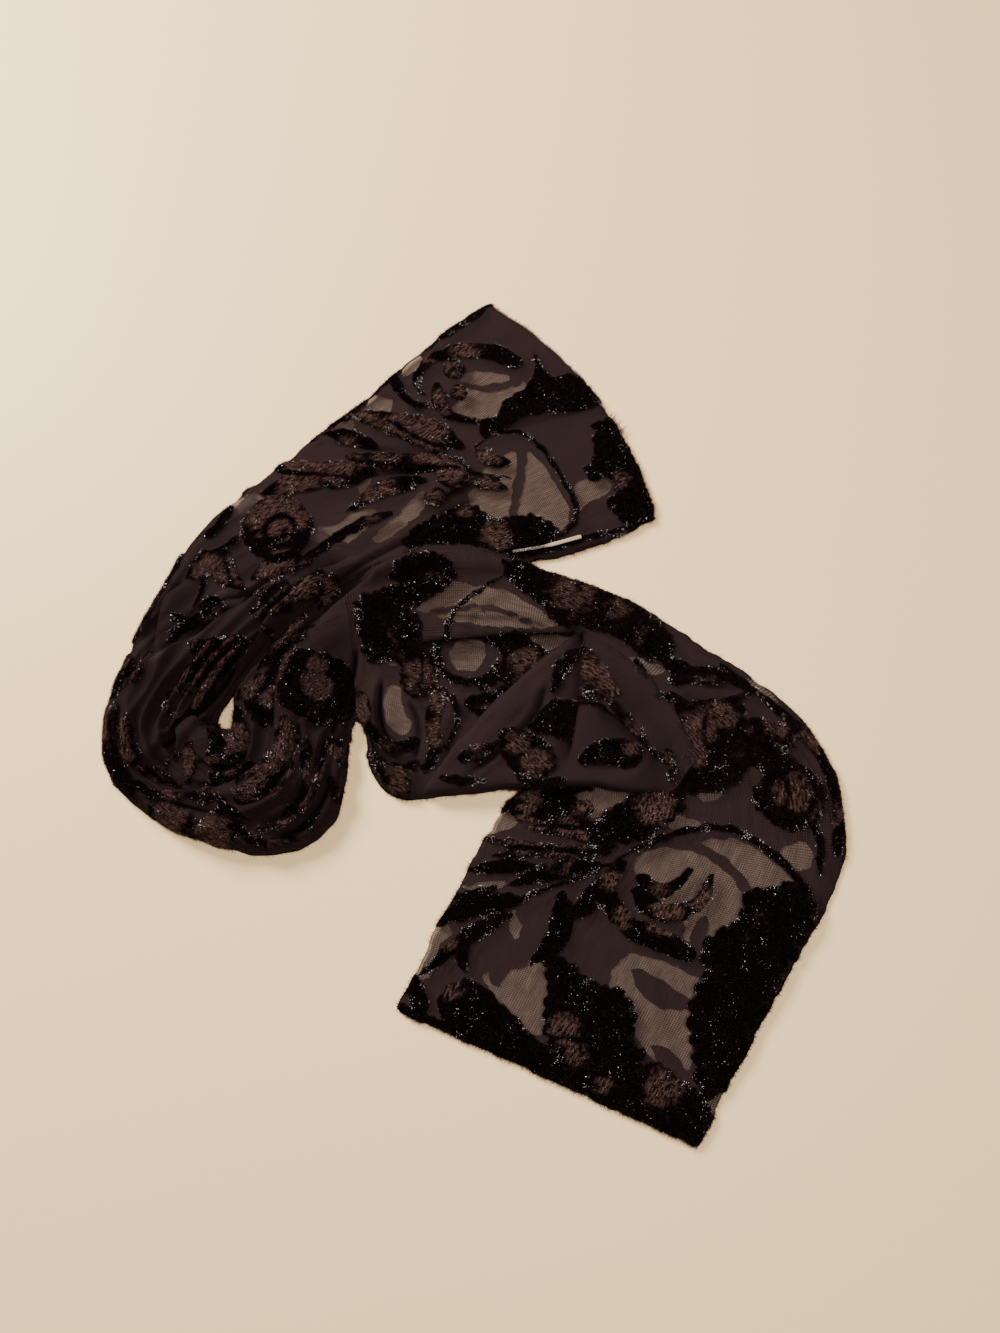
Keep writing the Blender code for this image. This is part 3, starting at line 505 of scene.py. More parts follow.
BARE_B = (
    Disc(-3, 20, 10),
    Patch(0, ((-49, 0), (-41, 1), (-38, -12), (-33, -20), (-40, -26), (-48, -16))),
    Patch(0, ((30, 30), (38, 32), (50, 31), (56, 28), (46, 23), (36, 20), (32, 24))),
    Leaf(21, 31, 24, 10, 5, -3),
    Patch(0, ((16, 3), (28, 5), (40, 10), (26, 1))),
    Patch(0, ((-30, 58), (-18, 63), (0, 60), (18, 57), (30, 50), (42, 42), (46, 36), (30, 35), (10, 36),
              (-10, 39), (-27, 43), (-36, 50))),
    Patch(0, ((86, 18), (94, 17), (108, 10), (100, 8), (92, 11))),
    Disc(115, 7, 3),
    Leaf(142, -8, 152, -14, 6, 1),
    Leaf(-50, 18, -40, 14, 5, 0),
    Patch(0, ((88, -92), (104, -86), (122, -83), (140, -82), (154, -88), (166, -98), (172, -107),
              (160, -112), (148, -114), (144, -122), (138, -131), (128, -136), (118, -148), (112, -134),
              (110, -122), (98, -113), (88, -102))),
    Patch(0, ((82, -142), (96, -144), (108, -148), (120, -156), (116, -166), (114, -180), (113, -199),
              (104, -200), (92, -192), (84, -180), (80, -168), (72, -161), (74, -150))),
    Patch(0, ((36, -142), (24, -150), (6, -150), (10, -160), (20, -172), (30, -181), (38, -180),
              (40, -160))),
    Leaf(22, -120, 24, -136, 6, 0),
    Patch(0, ((16, -64), (27, -72), (12, -79), (6, -78))),
    Leaf(-2, -108, 20, -104, 6, 1),
    Patch(0, ((-10, -130), (-18, -138), (-30, -153), (-26, -134), (-20, -124))),
    Patch(0, ((46, -53), (60, -52), (78, -54), (85, -60), (75, -65), (66, -71), (57, -63))),
    Leaf(104, -72, 124, -74, 8, 1),
    Leaf(122, -60, 136, -58, 7, 0),
    Patch(0, ((164, -90), (176, -83), (183, -90), (177, -99))),
    Patch(0, ((134, -196), (146, -184), (154, -178), (152, -192), (130, -222), (120, -214), (126, -206))),
    Leaf(64, 62, 92, 50, 5, 0),
    Leaf(150, 6, 170, -10, 5, 0),
    Leaf(-16, -142, -34, -160, 6, 0),
)
# Tongues and stems of the lower cloth's pile that cross those bare shapes.
TONGUES_A = (
    Vine(6, 4, ((32, 198), (27, 187), (14, 182), (-2, 181))),
    Vine(6, 5, ((28, 146), (27, 128), (24, 112), (22, 98))),
    Leaf(-92, 96, -70, 106, 8, 1),
    Vine(3, 3, ((-128, 118), (-112, 108), (-96, 112))),
)
TONGUES_B = (
    Vine(5, 6, ((100, -84), (122, -87), (138, -98), (150, -114))),
    Leaf(124, -122, 117, -140, 8, 1),
    Leaf(84, -149, 118, -168, 13, 4),
    Leaf(18, -140, 12, -160, 10, 1),
    Leaf(110, -204, 92, -186, 9, 1),
    Leaf(114, -138, 126, -152, 12, 0),
    Vine(4, 3, ((-24, 44), (6, 47), (34, 38))),
)

# Where the pile leans towards the light and gets a painted brown highlight.
GLOWS_A = (
    Glow(-12, 192, 6, 1.0), Glow(-6, 202, 11, 0.8), Glow(-28, 194, 6, 0.5), Glow(-20, 170, 8, 0.9),
    Glow(-9, 176, 5, 0.7),
    Glow(9, 136, 8, 1.0), Glow(8, 117, 7, 1.0), Glow(-28, 152, 13, 1.0), Glow(-44, 153, 11, 1.0),
    Glow(-62, 160, 8, 0.6),
    Glow(-24, 134, 11, 0.9), Glow(-50, 137, 9, 0.8), Glow(-78, 133, 14, 1.0), Glow(-98, 130, 13, 1.0),
    Glow(-100, 118, 13, 0.9),
    Glow(-54, 112, 11, 1.0), Glow(-14, 126, 8, 0.9), Glow(-24, 109, 7, 1.0), Glow(-4, 122, 5, 0.7),
    Glow(-114, 98, 16, 0.85),
    Glow(-104, 98, 11, 0.75), Glow(-4, 102, 5, 0.7), Glow(13, 88, 9, 1.0), Glow(-148, 66, 9, 1.0),
    Glow(-134, 66, 10, 1.0),
    Glow(-110, 67, 11, 1.0), Glow(84, 122, 6, 0.7), Glow(-60, 94, 8, 0.4), Glow(-178, 48, 8, 0.4),
    Glow(-92, 52, 9, 1.0),
    Glow(-81, 52, 7, 0.9), Glow(-98, 32, 7, 0.7), Glow(-136, -80, 10, 1.0), Glow(-158, -72, 10, 0.9),
    Glow(-98, -36, 9, 1.0),
    Glow(-84, -1, 8, 1.0), Glow(-84, 10, 6, 0.9), Glow(-87, -50, 7, 0.8), Glow(-150, -42, 8, 1.0),
    Glow(-126, -29, 8, 1.0),
    Glow(-123, -2, 6, 0.9), Glow(-112, -8, 5, 0.9), Glow(-158, -12, 5, 0.7), Glow(-73, -36, 5, 0.8),
    Glow(-118, -64, 6, 0.6),
    Glow(-102, -82, 7, 0.7), Glow(-196, -20, 6, 0.3),
)
GLOWS_B = (
    Glow(56, 55, 14, 0.6), Glow(80, 44, 8, 0.5), Glow(30, 14, 10, 1.0), Glow(34, 8, 7, 0.8),
    Glow(-30, 6, 10, 1.0),
    Glow(-19, -24, 9, 1.0), Glow(-18, -8, 7, 0.9), Glow(-40, -53, 6, 0.9), Glow(-60, -12, 8, 1.0),
    Glow(124, -22, 11, 1.0),
    Glow(136, -16, 9, 0.8), Glow(120, -36, 8, 0.9), Glow(30, -80, 13, 0.7), Glow(52, -82, 11, 0.8),
    Glow(46, -90, 10, 0.6),
    Glow(98, -64, 11, 1.0), Glow(102, -123, 10, 0.9), Glow(120, -112, 8, 0.9), Glow(74, -104, 6, 0.7),
    Glow(80, -122, 8, 0.7),
    Glow(100, -109, 6, 0.5), Glow(48, -178, 8, 1.0), Glow(54, -191, 6, 0.9), Glow(68, -205, 5, 0.7),
    Glow(98, -206, 10, 0.7),
    Glow(172, -58, 10, 1.0), Glow(182, -30, 10, 0.8), Glow(190, -70, 9, 0.7), Glow(-10, -158, 7, 0.6),
    Glow(166, -22, 8, 0.6),
    Glow(128, 2, 8, 0.4), Glow(30, -62, 8, 0.6), Glow(60, -66, 6, 0.8), Glow(-22, 64, 6, 0.4),
    Glow(150, -130, 10, 0.2),
    Glow(-14, -134, 8, 0.4), Glow(92, 30, 7, 0.3), Glow(10, -84, 7, 0.7), Glow(-44, 32, 6, 0.3),
    Glow(-46, -34, 6, 0.4),
)
GLOWS_PLEAT = (
    Glow(70, 8, 11, 1.0), Glow(74, -2, 7, 0.9), Glow(24, -31, 7, 1.0), Glow(34, -42, 8, 1.0),
    Glow(86, -34, 5, 1.0),
    Glow(88, -22, 6, 0.8), Glow(104, -40, 5, 0.8), Glow(2, -36, 6, 0.5),
)
# Where it leans away from the light inside such a patch, and the painted highlight is taken away, so it looks
# black.
SHADES_A = (
    Vine(4, 4, ((-101, 90), (-104, 97), (-112, 98), (-118, 91), (-115, 84), (-108, 85), (-107, 90))),
    Vine(7, 5, ((-92, 84), (-100, 76), (-112, 72), (-126, 78))),
    Vine(2, 2, ((-15, 188), (-11, 192), (-7, 190))),
    Vine(3, 3, ((-8, 138), (-30, 146), (-50, 158))),
    Vine(3.5, 3.5, ((-10, 129), (-40, 130), (-74, 133))),
    Vine(3.5, 3.5, ((-60, 122), (-90, 124), (-116, 126))),
    Vine(3, 3, ((-34, 114), (-52, 106), (-70, 99))),
    Vine(3, 3, ((-140, 74), (-136, 64), (-134, 56))),
    Vine(4, 4, ((16, 205), (22, 200), (26, 194))),
    Vine(5, 5, ((-98, 8), (-94, -6), (-94, -18))),
    Vine(5, 5, ((-72, 10), (-70, -4), (-72, -18))),
)
SHADES_B = (
    Vine(3, 3, ((76, -92), (48, -88), (8, -86))),
    Vine(3, 3, ((66, -78), (44, -75), (28, -74))),
    Vine(3, 3, ((88, -114), (98, -124), (112, -126))),
    Vine(3, 3, ((66, 62), (84, 52), (98, 40))),
    Vine(3, 2, ((44, -182), (54, -184), (58, -196))),
    Vine(3, 3, ((-28, 16), (-28, 6), (-32, -2))),
    Vine(3, 3, ((128, -14), (126, -26), (130, -40))),
    Vine(3, 3, ((164, -44), (170, -56), (166, -70))),
)


def soft_line(points, shares=None, per_point=14):
    """Points on a soft curve through a few measured ones, at given shares of its length if asked."""
    given = np.array(points, float)
    padded = np.vstack([2 * given[0] - given[1], given, 2 * given[-1] - given[-2]])
    along = np.linspace(0, len(given) - 1, per_point * len(given))
    start = np.minimum(along.astype(int), len(given) - 2)
    part = (along - start)[:, None]
    before, here, there, after = (padded[start + k] for k in range(4))
    curve = 0.5 * (
        2 * here
        + (there - before) * part
        + (2 * before - 5 * here + 4 * there - after) * part**2
        + (3 * here - before - 3 * there + after) * part**3
    )
    if shares is None:
        return curve, along
    steps = np.linalg.norm(np.diff(curve[:, :2], axis=0), axis=1)
    length = np.concatenate([[0], np.cumsum(steps)])
    placed = [np.interp(shares * length[-1], length, column) for column in curve.T]
    return np.stack(placed, axis=1), length[-1]


def soft_step(value):
    """0 below 0 and 1 above 1, with a soft rise between them."""
    value = np.clip(value, 0, 1)
    return value * value * (3 - 2 * value)


def rounded(distance, roll=EDGE_ROLL):
    """0 at an edge, rising as a quarter round to 1."""
    away = np.clip(distance / roll, 0, 1)
    return np.sqrt(1 - (1 - away) ** 2)


def beside(points, line):
    """Signed distance from a line of points, positive on its right, how far along it lies, and which way
    the line's right is."""
    starts, steps = line[:-1], np.diff(line, axis=0)
    best = np.full(len(points), np.inf)
    side = np.ones(len(points))
    along = np.zeros(len(points))
    rightward = np.zeros(points.shape)
    for k, (start, step) in enumerate(zip(starts, steps)):
        offset = points - start
        share = np.clip(offset @ step / max(step @ step, TINY), 0, 1)
        gap = np.linalg.norm(offset - share[:, None] * step, axis=1)
        nearer = gap < best
        cross = step[0] * offset[:, 1] - step[1] * offset[:, 0]
        best = np.where(nearer, gap, best)
        side = np.where(nearer, np.where(cross > 0, -1, 1), side)
        along = np.where(nearer, (k + share) / len(steps), along)
        rightward[nearer] = np.array([step[1], -step[0]]) / max(np.linalg.norm(step), TINY)
    return best * side, along, rightward


def near(points, line, reach):
    """Which points lie in the box round a line of points."""
    low, high = line.min(axis=0) - reach, line.max(axis=0) + reach
    return np.all((points > low) & (points < high), axis=1)


def raised_by(fold, points):
    """How far a fold lifts each point, how far its lap pushes it sideways over the cloth beside it, and how
    much painted shade it gets there, for the shade in the fold together with the darker look of the layers
    that close up."""
    line, _ = soft_line(fold.route, per_point=6)
    reach = fold.width * (3 if fold.kind == "ridge" else 7)
    picked = np.flatnonzero(near(points, line, reach))
    height, push, dark = np.zeros(len(points)), np.zeros(points.shape), np.zeros(len(points))
    if len(picked) == 0:
        return height, push, dark
    aside, along, rightward = beside(points[picked], line)
    fade = soft_step(along / max(fold.fade_in, TINY)) * soft_step((1 - along) / max(fold.fade_out, TINY))
    if fold.kind == "ridge":
        height[picked] = fold.height * fade * np.exp(-np.abs(aside / fold.width) ** 1.5)
        return height, push, dark
    if fold.kind == "crease":
        bank = np.exp(-(((np.abs(aside) - 1.8 * fold.width) / fold.width) ** 2))
        height[picked] = fold.height * fade * (0.45 * bank - 0.7 * np.exp(-((aside / fold.width) ** 2)))
        depth = np.clip(fold.height / 2.4, 0, 1) ** 2
        # Painted shade along the bottom of the crease, darker the deeper the crease.
        dark[picked] = depth * np.minimum(2 * fade, 1) * np.exp(-((aside / (0.65 * fold.width)) ** 2))
        return height, push, dark
    rise = 0.25 * soft_step((aside + 1.5) / 1.8) + 0.75 * rounded(aside, LAP_ROUND)
    fall = 1 - soft_step((aside - LAP_ROUND) / (4 * fold.width))
    trough = 0.25 * np.exp(-(((aside + 3) / 2.2) ** 2))
    height[picked] = fold.height * fade * (rise * fall - trough)
    over = soft_step((aside + 1.6) / 2.2) * (1 - soft_step((aside - 0.6) / 9))
    push[picked] = -rightward * (LAP_OVERHANG * fade * over)[:, None]
    # Painted shade in the valley below the lap and along its foot.
    valley = 0.6 * np.exp(-(((aside + 2) / 6) ** 2)) * (aside < 0)
    dark[picked] = np.minimum(2 * fade, 1) * np.maximum(valley, np.exp(-(((aside + 1.8) / 2.0) ** 2)))
    return height, push, dark


def relief(folds, points):
    """What a table of folds does to each point, all together."""
    height, push, dark = np.zeros(len(points)), np.zeros(points.shape), np.zeros(len(points))
    for fold in folds:
        raised, pushed, darkened = raised_by(fold, points)
        height += raised
        push += pushed
        dark = np.maximum(dark, darkened)
    return height, push, dark


def wander(points, wavelength, seed):
    """Soft noise of about -1 to 1, made from a few crossed waves."""
    waves = np.random.default_rng(seed)
    total = np.zeros(len(points))
    for _ in range(7):
        angle, phase = waves.uniform(0, 2 * math.pi, 2)
        scale = wavelength * waves.uniform(0.7, 1.5)
        heading = np.array([math.cos(angle), math.sin(angle)])
        total += np.sin(points @ heading * 2 * math.pi / scale + phase)
    return total / 3.2


def signed_patch(points, corners):
    """Distance inside a closed outline, negative outside."""
    ring = np.vstack([corners, corners[:1]])
    gap = np.full(len(points), np.inf)
    inside = np.zeros(len(points), bool)
    for start, end in zip(ring[:-1], ring[1:]):
        step = end - start
        offset = points - start
        share = np.clip(offset @ step / max(step @ step, TINY), 0, 1)
        gap = np.minimum(gap, np.linalg.norm(offset - share[:, None] * step, axis=1))
        crosses = (start[1] > points[:, 1]) != (end[1] > points[:, 1])
        level = np.where(abs(step[1]) < TINY, TINY, step[1])
        inside ^= crosses & (points[:, 0] < start[0] + (points[:, 1] - start[1]) * step[0] / level)
    return np.where(inside, gap, -gap)


def closed_curve(points, per_point=6):
    """A soft closed outline through a patch's corners."""
    given = np.array(points, float)
    wrapped = np.vstack([given[-2:], given, given[:2]])
    curve, along = soft_line(wrapped, per_point=per_point)
    return curve[(along >= 2) & (along < len(given) + 2)]


def depth_in(shape, points):
    """How deep each point lies inside one shape of the pattern, in millimetres."""
    if isinstance(shape, Disc):
        return shape.radius - np.linalg.norm(points - (shape.x, shape.y), axis=1)
    if isinstance(shape, Leaf):
        stem, tip = np.array([shape.x0, shape.y0]), np.array([shape.x1, shape.y1])
        axis = tip - stem
        aside = np.array([axis[1], -axis[0]]) / np.linalg.norm(axis)
        line, _ = soft_line((stem, (stem + tip) / 2 + aside * shape.bend, tip), per_point=6)
        offset, along, _ = beside(points, line)
        girth = shape.width / 2 * np.sin(math.pi * np.clip(along, 0, 1) ** 0.8) ** 0.75
        return girth - np.abs(offset)
    if isinstance(shape, Vine):
        line, _ = soft_line(shape.points, per_point=5)
        offset, along, _ = beside(points, line)
        width = shape.width_start + (shape.width_end - shape.width_start) * along
        return width / 2 * (1 - 0.35 * np.abs(2 * along - 1) ** 6) - np.abs(offset)
    outline = closed_curve(shape.points)
    depth = signed_patch(points, outline)
    if shape.scallop:
        steps = np.linalg.norm(np.diff(outline, axis=0), axis=1)
        length = np.concatenate([[0], np.cumsum(steps)])
        for place in np.arange(0, length[-1], 1.7 * shape.scallop):
            centre = [np.interp(place, length, column) for column in outline.T]
            depth = np.maximum(depth, 0.9 * shape.scallop - np.linalg.norm(points - centre, axis=1))
    return depth


def extent(shape):
    """The points that a shape is drawn through, and how far it reaches past them."""
    if isinstance(shape, Disc):
        return np.array([[shape.x, shape.y]]), shape.radius + PATTERN_REACH
    if isinstance(shape, Leaf):
        ends = np.array([[shape.x0, shape.y0], [shape.x1, shape.y1]])
        return ends, shape.width + abs(shape.bend) + PATTERN_REACH
    if isinstance(shape, Vine):
        reach = max(shape.width_start, shape.width_end)
    else:
        reach = shape.scallop + 4
    return np.array(shape.points, float), reach + PATTERN_REACH


def pattern_depth(shapes, points):
    """How deep each point lies inside the nearest of many shapes, negative where it is bare."""
    depth = np.full(len(points), -PATTERN_REACH)
    for shape in shapes:
        corners, reach = extent(shape)
        picked = np.flatnonzero(near(points, corners, reach))
        if len(picked):
            depth[picked] = np.maximum(depth[picked], depth_in(shape, points[picked]))
    return depth


def wavered(points, seed):
    """Plan points nudged a little, so that the pattern's edges wander as woven ones do."""
    broad = np.stack([wander(points, 9, seed), wander(points, 9, seed + 1)], axis=1) * 0.7
    fine = np.stack([wander(points, 3.5, seed + 2), wander(points, 3.5, seed + 3)], axis=1) * 0.35
    return points + broad + fine


def glow_of(table, points):
    """How strong the painted brown highlight on the pile is at each point, from a table's glows less its
    shades.
    """
    glows, shades = table
    total = np.zeros(len(points))
    for glow in glows:
        gap = np.linalg.norm(points - (glow.x, glow.y), axis=1)
        total = np.maximum(total, glow.strength * np.exp(-((gap / glow.radius) ** 4)))
    return total * (1 - soft_step(pattern_depth(shades, points) + 0.4))


class Cloth:
    """A long grid of plan points, with each one's place along and across the cloth."""

    def __init__(self, sections, columns, step):
        curve, along = soft_line(sections, per_point=30)
        left_steps, right_steps = (np.diff(curve[:, side], axis=0) for side in (slice(2), slice(2, 4)))
        stride = np.maximum(np.linalg.norm(left_steps, axis=1), np.linalg.norm(right_steps, axis=1))
        middle = (curve[:, :2] + curve[:, 2:4]) / 2
        outer = np.concatenate([[0], np.cumsum(stride)])
        walked = np.concatenate([[0], np.cumsum(np.linalg.norm(np.diff(middle, axis=0), axis=1))])
        places = np.linspace(0, outer[-1], round(outer[-1] / step) + 1)
        rows = np.stack([np.interp(places, outer, column) for column in curve.T], axis=1)
        self.outer = np.broadcast_to(places[:, None], (len(places), len(columns)))
        self.walked = np.interp(places, outer, walked)[:, None] + np.zeros(len(columns))
        self.index = np.interp(places, outer, along)
        self.left, self.right = rows[:, None, :2], rows[:, None, 2:4]
        self.lift, self.rim = rows[:, 4:5], rows[:, 5:6]
        self.width = np.linalg.norm(rows[:, 2:4] - rows[:, :2], axis=1)[:, None]
        self.across = columns[None, :] + np.zeros((len(places), 1))
        self.total = places[-1]
        chord = (self.right - self.left) / self.width[..., None]
        self.plan = self.left + (self.right - self.left) * self.across[..., None]
        sway = np.stack([self.outer.ravel(), np.zeros(self.outer.size)], axis=1)
        left_sway, right_sway = (
            (wander(sway, 26, seed) * 0.6 + wander(sway, 8, seed + 1) * 0.3).reshape(self.outer.shape)
            for seed in (31, 41)
        )
        pull = left_sway * (1 - self.across) ** 6 + right_sway * self.across**6
        self.plan = self.plan + chord * pull[..., None]
        spot = np.stack([(self.across * self.width).ravel(), np.zeros(self.outer.size)], axis=1)
        ripple = (wander(spot, 24, 33) * 0.6 + wander(spot, 7, 34) * 0.35).reshape(self.outer.shape)
        from_end = np.minimum(self.outer, self.total - self.outer)
        onward = np.gradient(self.plan, axis=0)
        onward /= np.maximum(np.linalg.norm(onward, axis=-1, keepdims=True), TINY)
        self.plan = self.plan + onward * (ripple * np.clip(1 - from_end / HEM_RIPPLE, 0, 1))[..., None]
        self.distance = np.minimum(self.across, 1 - self.across) * self.width

    def bulge_start(self, amount, span):
        """Bows the first rows outwards."""
        chord = (self.right - self.left)[0, 0]
        square = np.array([chord[1], -chord[0]]) / np.linalg.norm(chord)
        behind = self.plan[0].mean(axis=0) - self.plan[min(20, len(self.plan) - 1)].mean(axis=0)
        square *= np.sign(square @ behind)
        fade = np.clip(1 - self.outer / span, 0, 1)
        self.plan = self.plan + (amount * fade * 4 * self.across * (1 - self.across))[..., None] * square

    def points(self):
        """Every plan point in one list."""
        return self.plan.reshape(-1, 2)

    def spread(self, values):
        """A list of one value for each point, laid back on the grid."""
        return np.asarray(values).reshape(self.plan.shape[:2])


# The grid of the height maps: the size of a cell, where its corner lies and how many cells it has
MAP_CELL = 2.0
MAP_LOW = np.array([-230.0, -260.0])
MAP_SHAPE = (230, 260)


def height_map(surface):
    """How high a surface reaches over each small square of the plan."""
    top = np.zeros(MAP_SHAPE)
    cells = ((surface[..., :2] - MAP_LOW) / MAP_CELL).astype(int)
    for dx in (0, 1):
        for dy in (0, 1):
            np.maximum.at(top, (cells[..., 0] + dx, cells[..., 1] + dy), surface[..., 2])
    return top


def blanket(top, reach, softness):
    """A height map widened and softened, as a cloth laid over it lies."""
    wide = top.copy()
    for dx in range(-reach, reach + 1):
        for dy in range(-reach, reach + 1):
            if dx * dx + dy * dy <= reach * reach:
                wide = np.maximum(wide, np.roll(top, (dx, dy), (0, 1)))
    for _ in range(softness):
        wide = (wide * 2 + sum(np.roll(wide, shift, axis) for axis in (0, 1) for shift in (-1, 1))) / 6
    return wide


def read_map(values, plan):
    """A height map read softly at plan points."""
    place = (plan - MAP_LOW) / MAP_CELL - 0.5
    low = np.floor(place).astype(int)
    part = place - low
    x, y = low[..., 0], low[..., 1]
    near_row = values[x, y] * (1 - part[..., 1]) + values[x, y + 1] * part[..., 1]
    far_row = values[x + 1, y] * (1 - part[..., 1]) + values[x + 1, y + 1] * part[..., 1]
    return near_row * (1 - part[..., 0]) + far_row * part[..., 0]


def normals_of(surface):
    """The upward direction square to a surface at each point of its grid."""
    normal = np.cross(np.gradient(surface, axis=0), np.gradient(surface, axis=1))
    normal *= np.where(normal[..., 2:] < 0, -1, 1)
    return normal / np.maximum(np.linalg.norm(normal, axis=-1, keepdims=True), TINY)


def tone(code):
    """An sRGB hex colour as a linear one."""
    parts = [int(code[k : k + 2], 16) / 255 for k in (1, 3, 5)]
    return (*(p / 12.92 if p <= 0.04045 else ((p + 0.055) / 1.055) ** 2.4 for p in parts), 1.0)


def node(tree, kind, settings=None, links=None, **properties):
    """Adds a node with its properties, its sockets' values and what feeds them."""
    made = tree.nodes.new(kind)
    for name, value in properties.items():
        setattr(made, name, value)
    for name, value in (settings or {}).items():
        made.inputs[name].default_value = value
    for name, source in (links or {}).items():
        tree.links.new(source, made.inputs[name])
    return made


def new_material(name):
    """An empty material and its node tree."""
    material = bpy.data.materials.new(name)
    material.use_nodes = True
    material.node_tree.nodes.clear()
    return material, material.node_tree


def sheer_chiffon(tree, place):
    # Silk chiffon with nothing on it: dull brown-black threads with gaps that the surface shows through.
    # Real threads lie about 0.1 mm apart, too fine to show, so the weave is drawn about ten times coarser.
    threads = node(tree, "ShaderNodeSeparateXYZ", links={0: place.outputs["UV"]})
    drift = node(tree, "ShaderNodeTexNoise", {"Scale": WEAVE_DRIFT / MM, "Detail": 1.0},
                 {"Vector": place.outputs["Object"]})
    weave = []
    for axis, spacing in (("X", WARP_SPACING), ("Y", WEFT_SPACING)):
        phase = node(tree, "ShaderNodeMath", {1: 14.0}, {0: drift.outputs["Fac"]}, operation="MULTIPLY")
        turns = node(tree, "ShaderNodeMath", {1: 2 * math.pi / (spacing * MM)},
                     {0: threads.outputs[axis], 2: phase.outputs[0]}, operation="MULTIPLY_ADD")
        weave.append(node(tree, "ShaderNodeMath", links={0: turns.outputs[0]}, operation="SINE"))
    crossed = node(tree, "ShaderNodeMath", links={0: weave[0].outputs[0], 1: weave[1].outputs[0]},
                   operation="ADD")
    # Watered bands, as two layers of a fine weave show where they lie on each other.
    drawn_out = node(tree, "ShaderNodeMapping", {"Scale": (*(count / MM for count in WATERED_BANDS), 1)},
                     {"Vector": place.outputs["UV"]})
    bands = node(tree, "ShaderNodeTexNoise", {"Scale": 1.0, "Detail": 1.0, "Distortion": 1.2},
                 {"Vector": drawn_out.outputs[0]})
    watered = node(tree, "ShaderNodeMath", {1: 3.4}, {0: bands.outputs["Fac"], 2: crossed.outputs[0]},
                   operation="MULTIPLY_ADD")
    cover = node(tree, "ShaderNodeMapRange",
                 {"From Min": -0.3, "From Max": 3.7, "To Min": 0.12, "To Max": 0.68},
                 {"Value": watered.outputs[0]})
    gaps = node(tree, "ShaderNodeBsdfTransparent", {"Color": (0.77, 0.766, 0.835, 1)})
    silk = node(tree, "ShaderNodeBsdfPrincipled",
                {"Base Color": tone("#312626"), "Roughness": 0.9, "Specular IOR Level": 0.0,
                 "Sheen Weight": 0.02, "Sheen Roughness": 0.5})
    return node(tree, "ShaderNodeMixShader",
                links={0: cover.outputs[0], 1: gaps.outputs[0], 2: silk.outputs[0]})


def velvet_pile(tree, place):
    # Dense rayon pile: almost black, with a painted brown highlight in short strokes where it leans to the
    # light. Its back, which shows through the other layer, is smooth and dark brown.
    glow = node(tree, "ShaderNodeAttribute", attribute_name="brown_sheen_and_tone")
    stretched = node(tree, "ShaderNodeMapping", {"Scale": (*(count / MM for count in BROWN_STROKES), 1)},
                     {"Vector": place.outputs["UV"]})
    tufts = node(tree, "ShaderNodeTexNoise", {"Scale": 1.0, "Detail": 2.0, "Roughness": 0.6},
                 {"Vector": stretched.outputs[0]})
    strokes = node(tree, "ShaderNodeMapRange", {"From Min": 0.42, "From Max": 0.58},
                   {"Value": tufts.outputs["Fac"]})
    browned = node(tree, "ShaderNodeMath", links={0: strokes.outputs[0], 1: glow.outputs["Fac"]},
                   operation="MULTIPLY")
    colour = node(tree, "ShaderNodeMix", {6: tone("#060304"), 7: tone("#4a3734")}, {0: browned.outputs[0]},
                  data_type="RGBA")
    raised = node(tree, "ShaderNodeBump", {"Strength": 0.6, "Distance": 0.0006},
                  {"Height": tufts.outputs["Fac"]})
    pile = node(tree, "ShaderNodeBsdfPrincipled", {"Roughness": 0.8, "Specular IOR Level": 0.0},
                {"Base Color": colour.outputs[2], "Normal": raised.outputs[0]})
    back = node(tree, "ShaderNodeBsdfPrincipled",
                {"Base Color": tone("#291f1f"), "Roughness": 0.9, "Specular IOR Level": 0.0,
                 "Sheen Weight": 0.02})
    side = node(tree, "ShaderNodeNewGeometry")
    return node(tree, "ShaderNodeMixShader",
                links={0: side.outputs["Backfacing"], 1: pile.outputs[0], 2: back.outputs[0]})


def silk_chiffon_with_velvet_pile():
    # Silk chiffon with a velvet pile left standing in the pattern, its shapes slightly ragged at the edge.
    # Closed folds get painted shade, a near-black finish mixed in, and the pleat fades out where the cloth
    # goes on without a break.
    material, tree = new_material("silk_chiffon_with_velvet_pile")
    place = node(tree, "ShaderNodeTexCoord")
    depth = node(tree, "ShaderNodeAttribute", attribute_name="pile_depth")
    fuzz = node(tree, "ShaderNodeTexNoise", {"Scale": RAGGED_EDGE / MM, "Detail": 3.0, "Roughness": 0.7},
                {"Vector": place.outputs["Object"]})
    jitter = node(tree, "ShaderNodeMath", {1: 0.5}, {0: fuzz.outputs["Fac"]}, operation="SUBTRACT")
    ragged = node(tree, "ShaderNodeMath", {1: 1.6}, {0: jitter.outputs[0], 2: depth.outputs["Fac"]},
                  operation="MULTIPLY_ADD")
    mask = node(tree, "ShaderNodeMapRange", {"From Min": -0.15, "From Max": 0.3},
                {"Value": ragged.outputs[0]})
    sheer = sheer_chiffon(tree, place)
    dense = velvet_pile(tree, place)
    open_cloth = node(tree, "ShaderNodeMixShader",
                      links={0: mask.outputs[0], 1: sheer.outputs[0], 2: dense.outputs[0]})
    # Painted shade: this value mixes a near-black diffuse finish into the folds.
    closed = node(tree, "ShaderNodeAttribute", attribute_name="painted_fold_shade")
    shadow = node(tree, "ShaderNodeBsdfDiffuse", {"Color": tone("#080506")})
    folded = node(tree, "ShaderNodeMixShader",
                  links={0: closed.outputs["Fac"], 1: open_cloth.outputs[0], 2: shadow.outputs[0]})
    melt = node(tree, "ShaderNodeAttribute", attribute_name="melt")
    gone = node(tree, "ShaderNodeBsdfTransparent")
    melted = node(tree, "ShaderNodeMixShader",
                  links={0: melt.outputs["Fac"], 1: gone.outputs[0], 2: folded.outputs[0]})
    node(tree, "ShaderNodeOutputMaterial", links={"Surface": melted.outputs[0]})
    return material


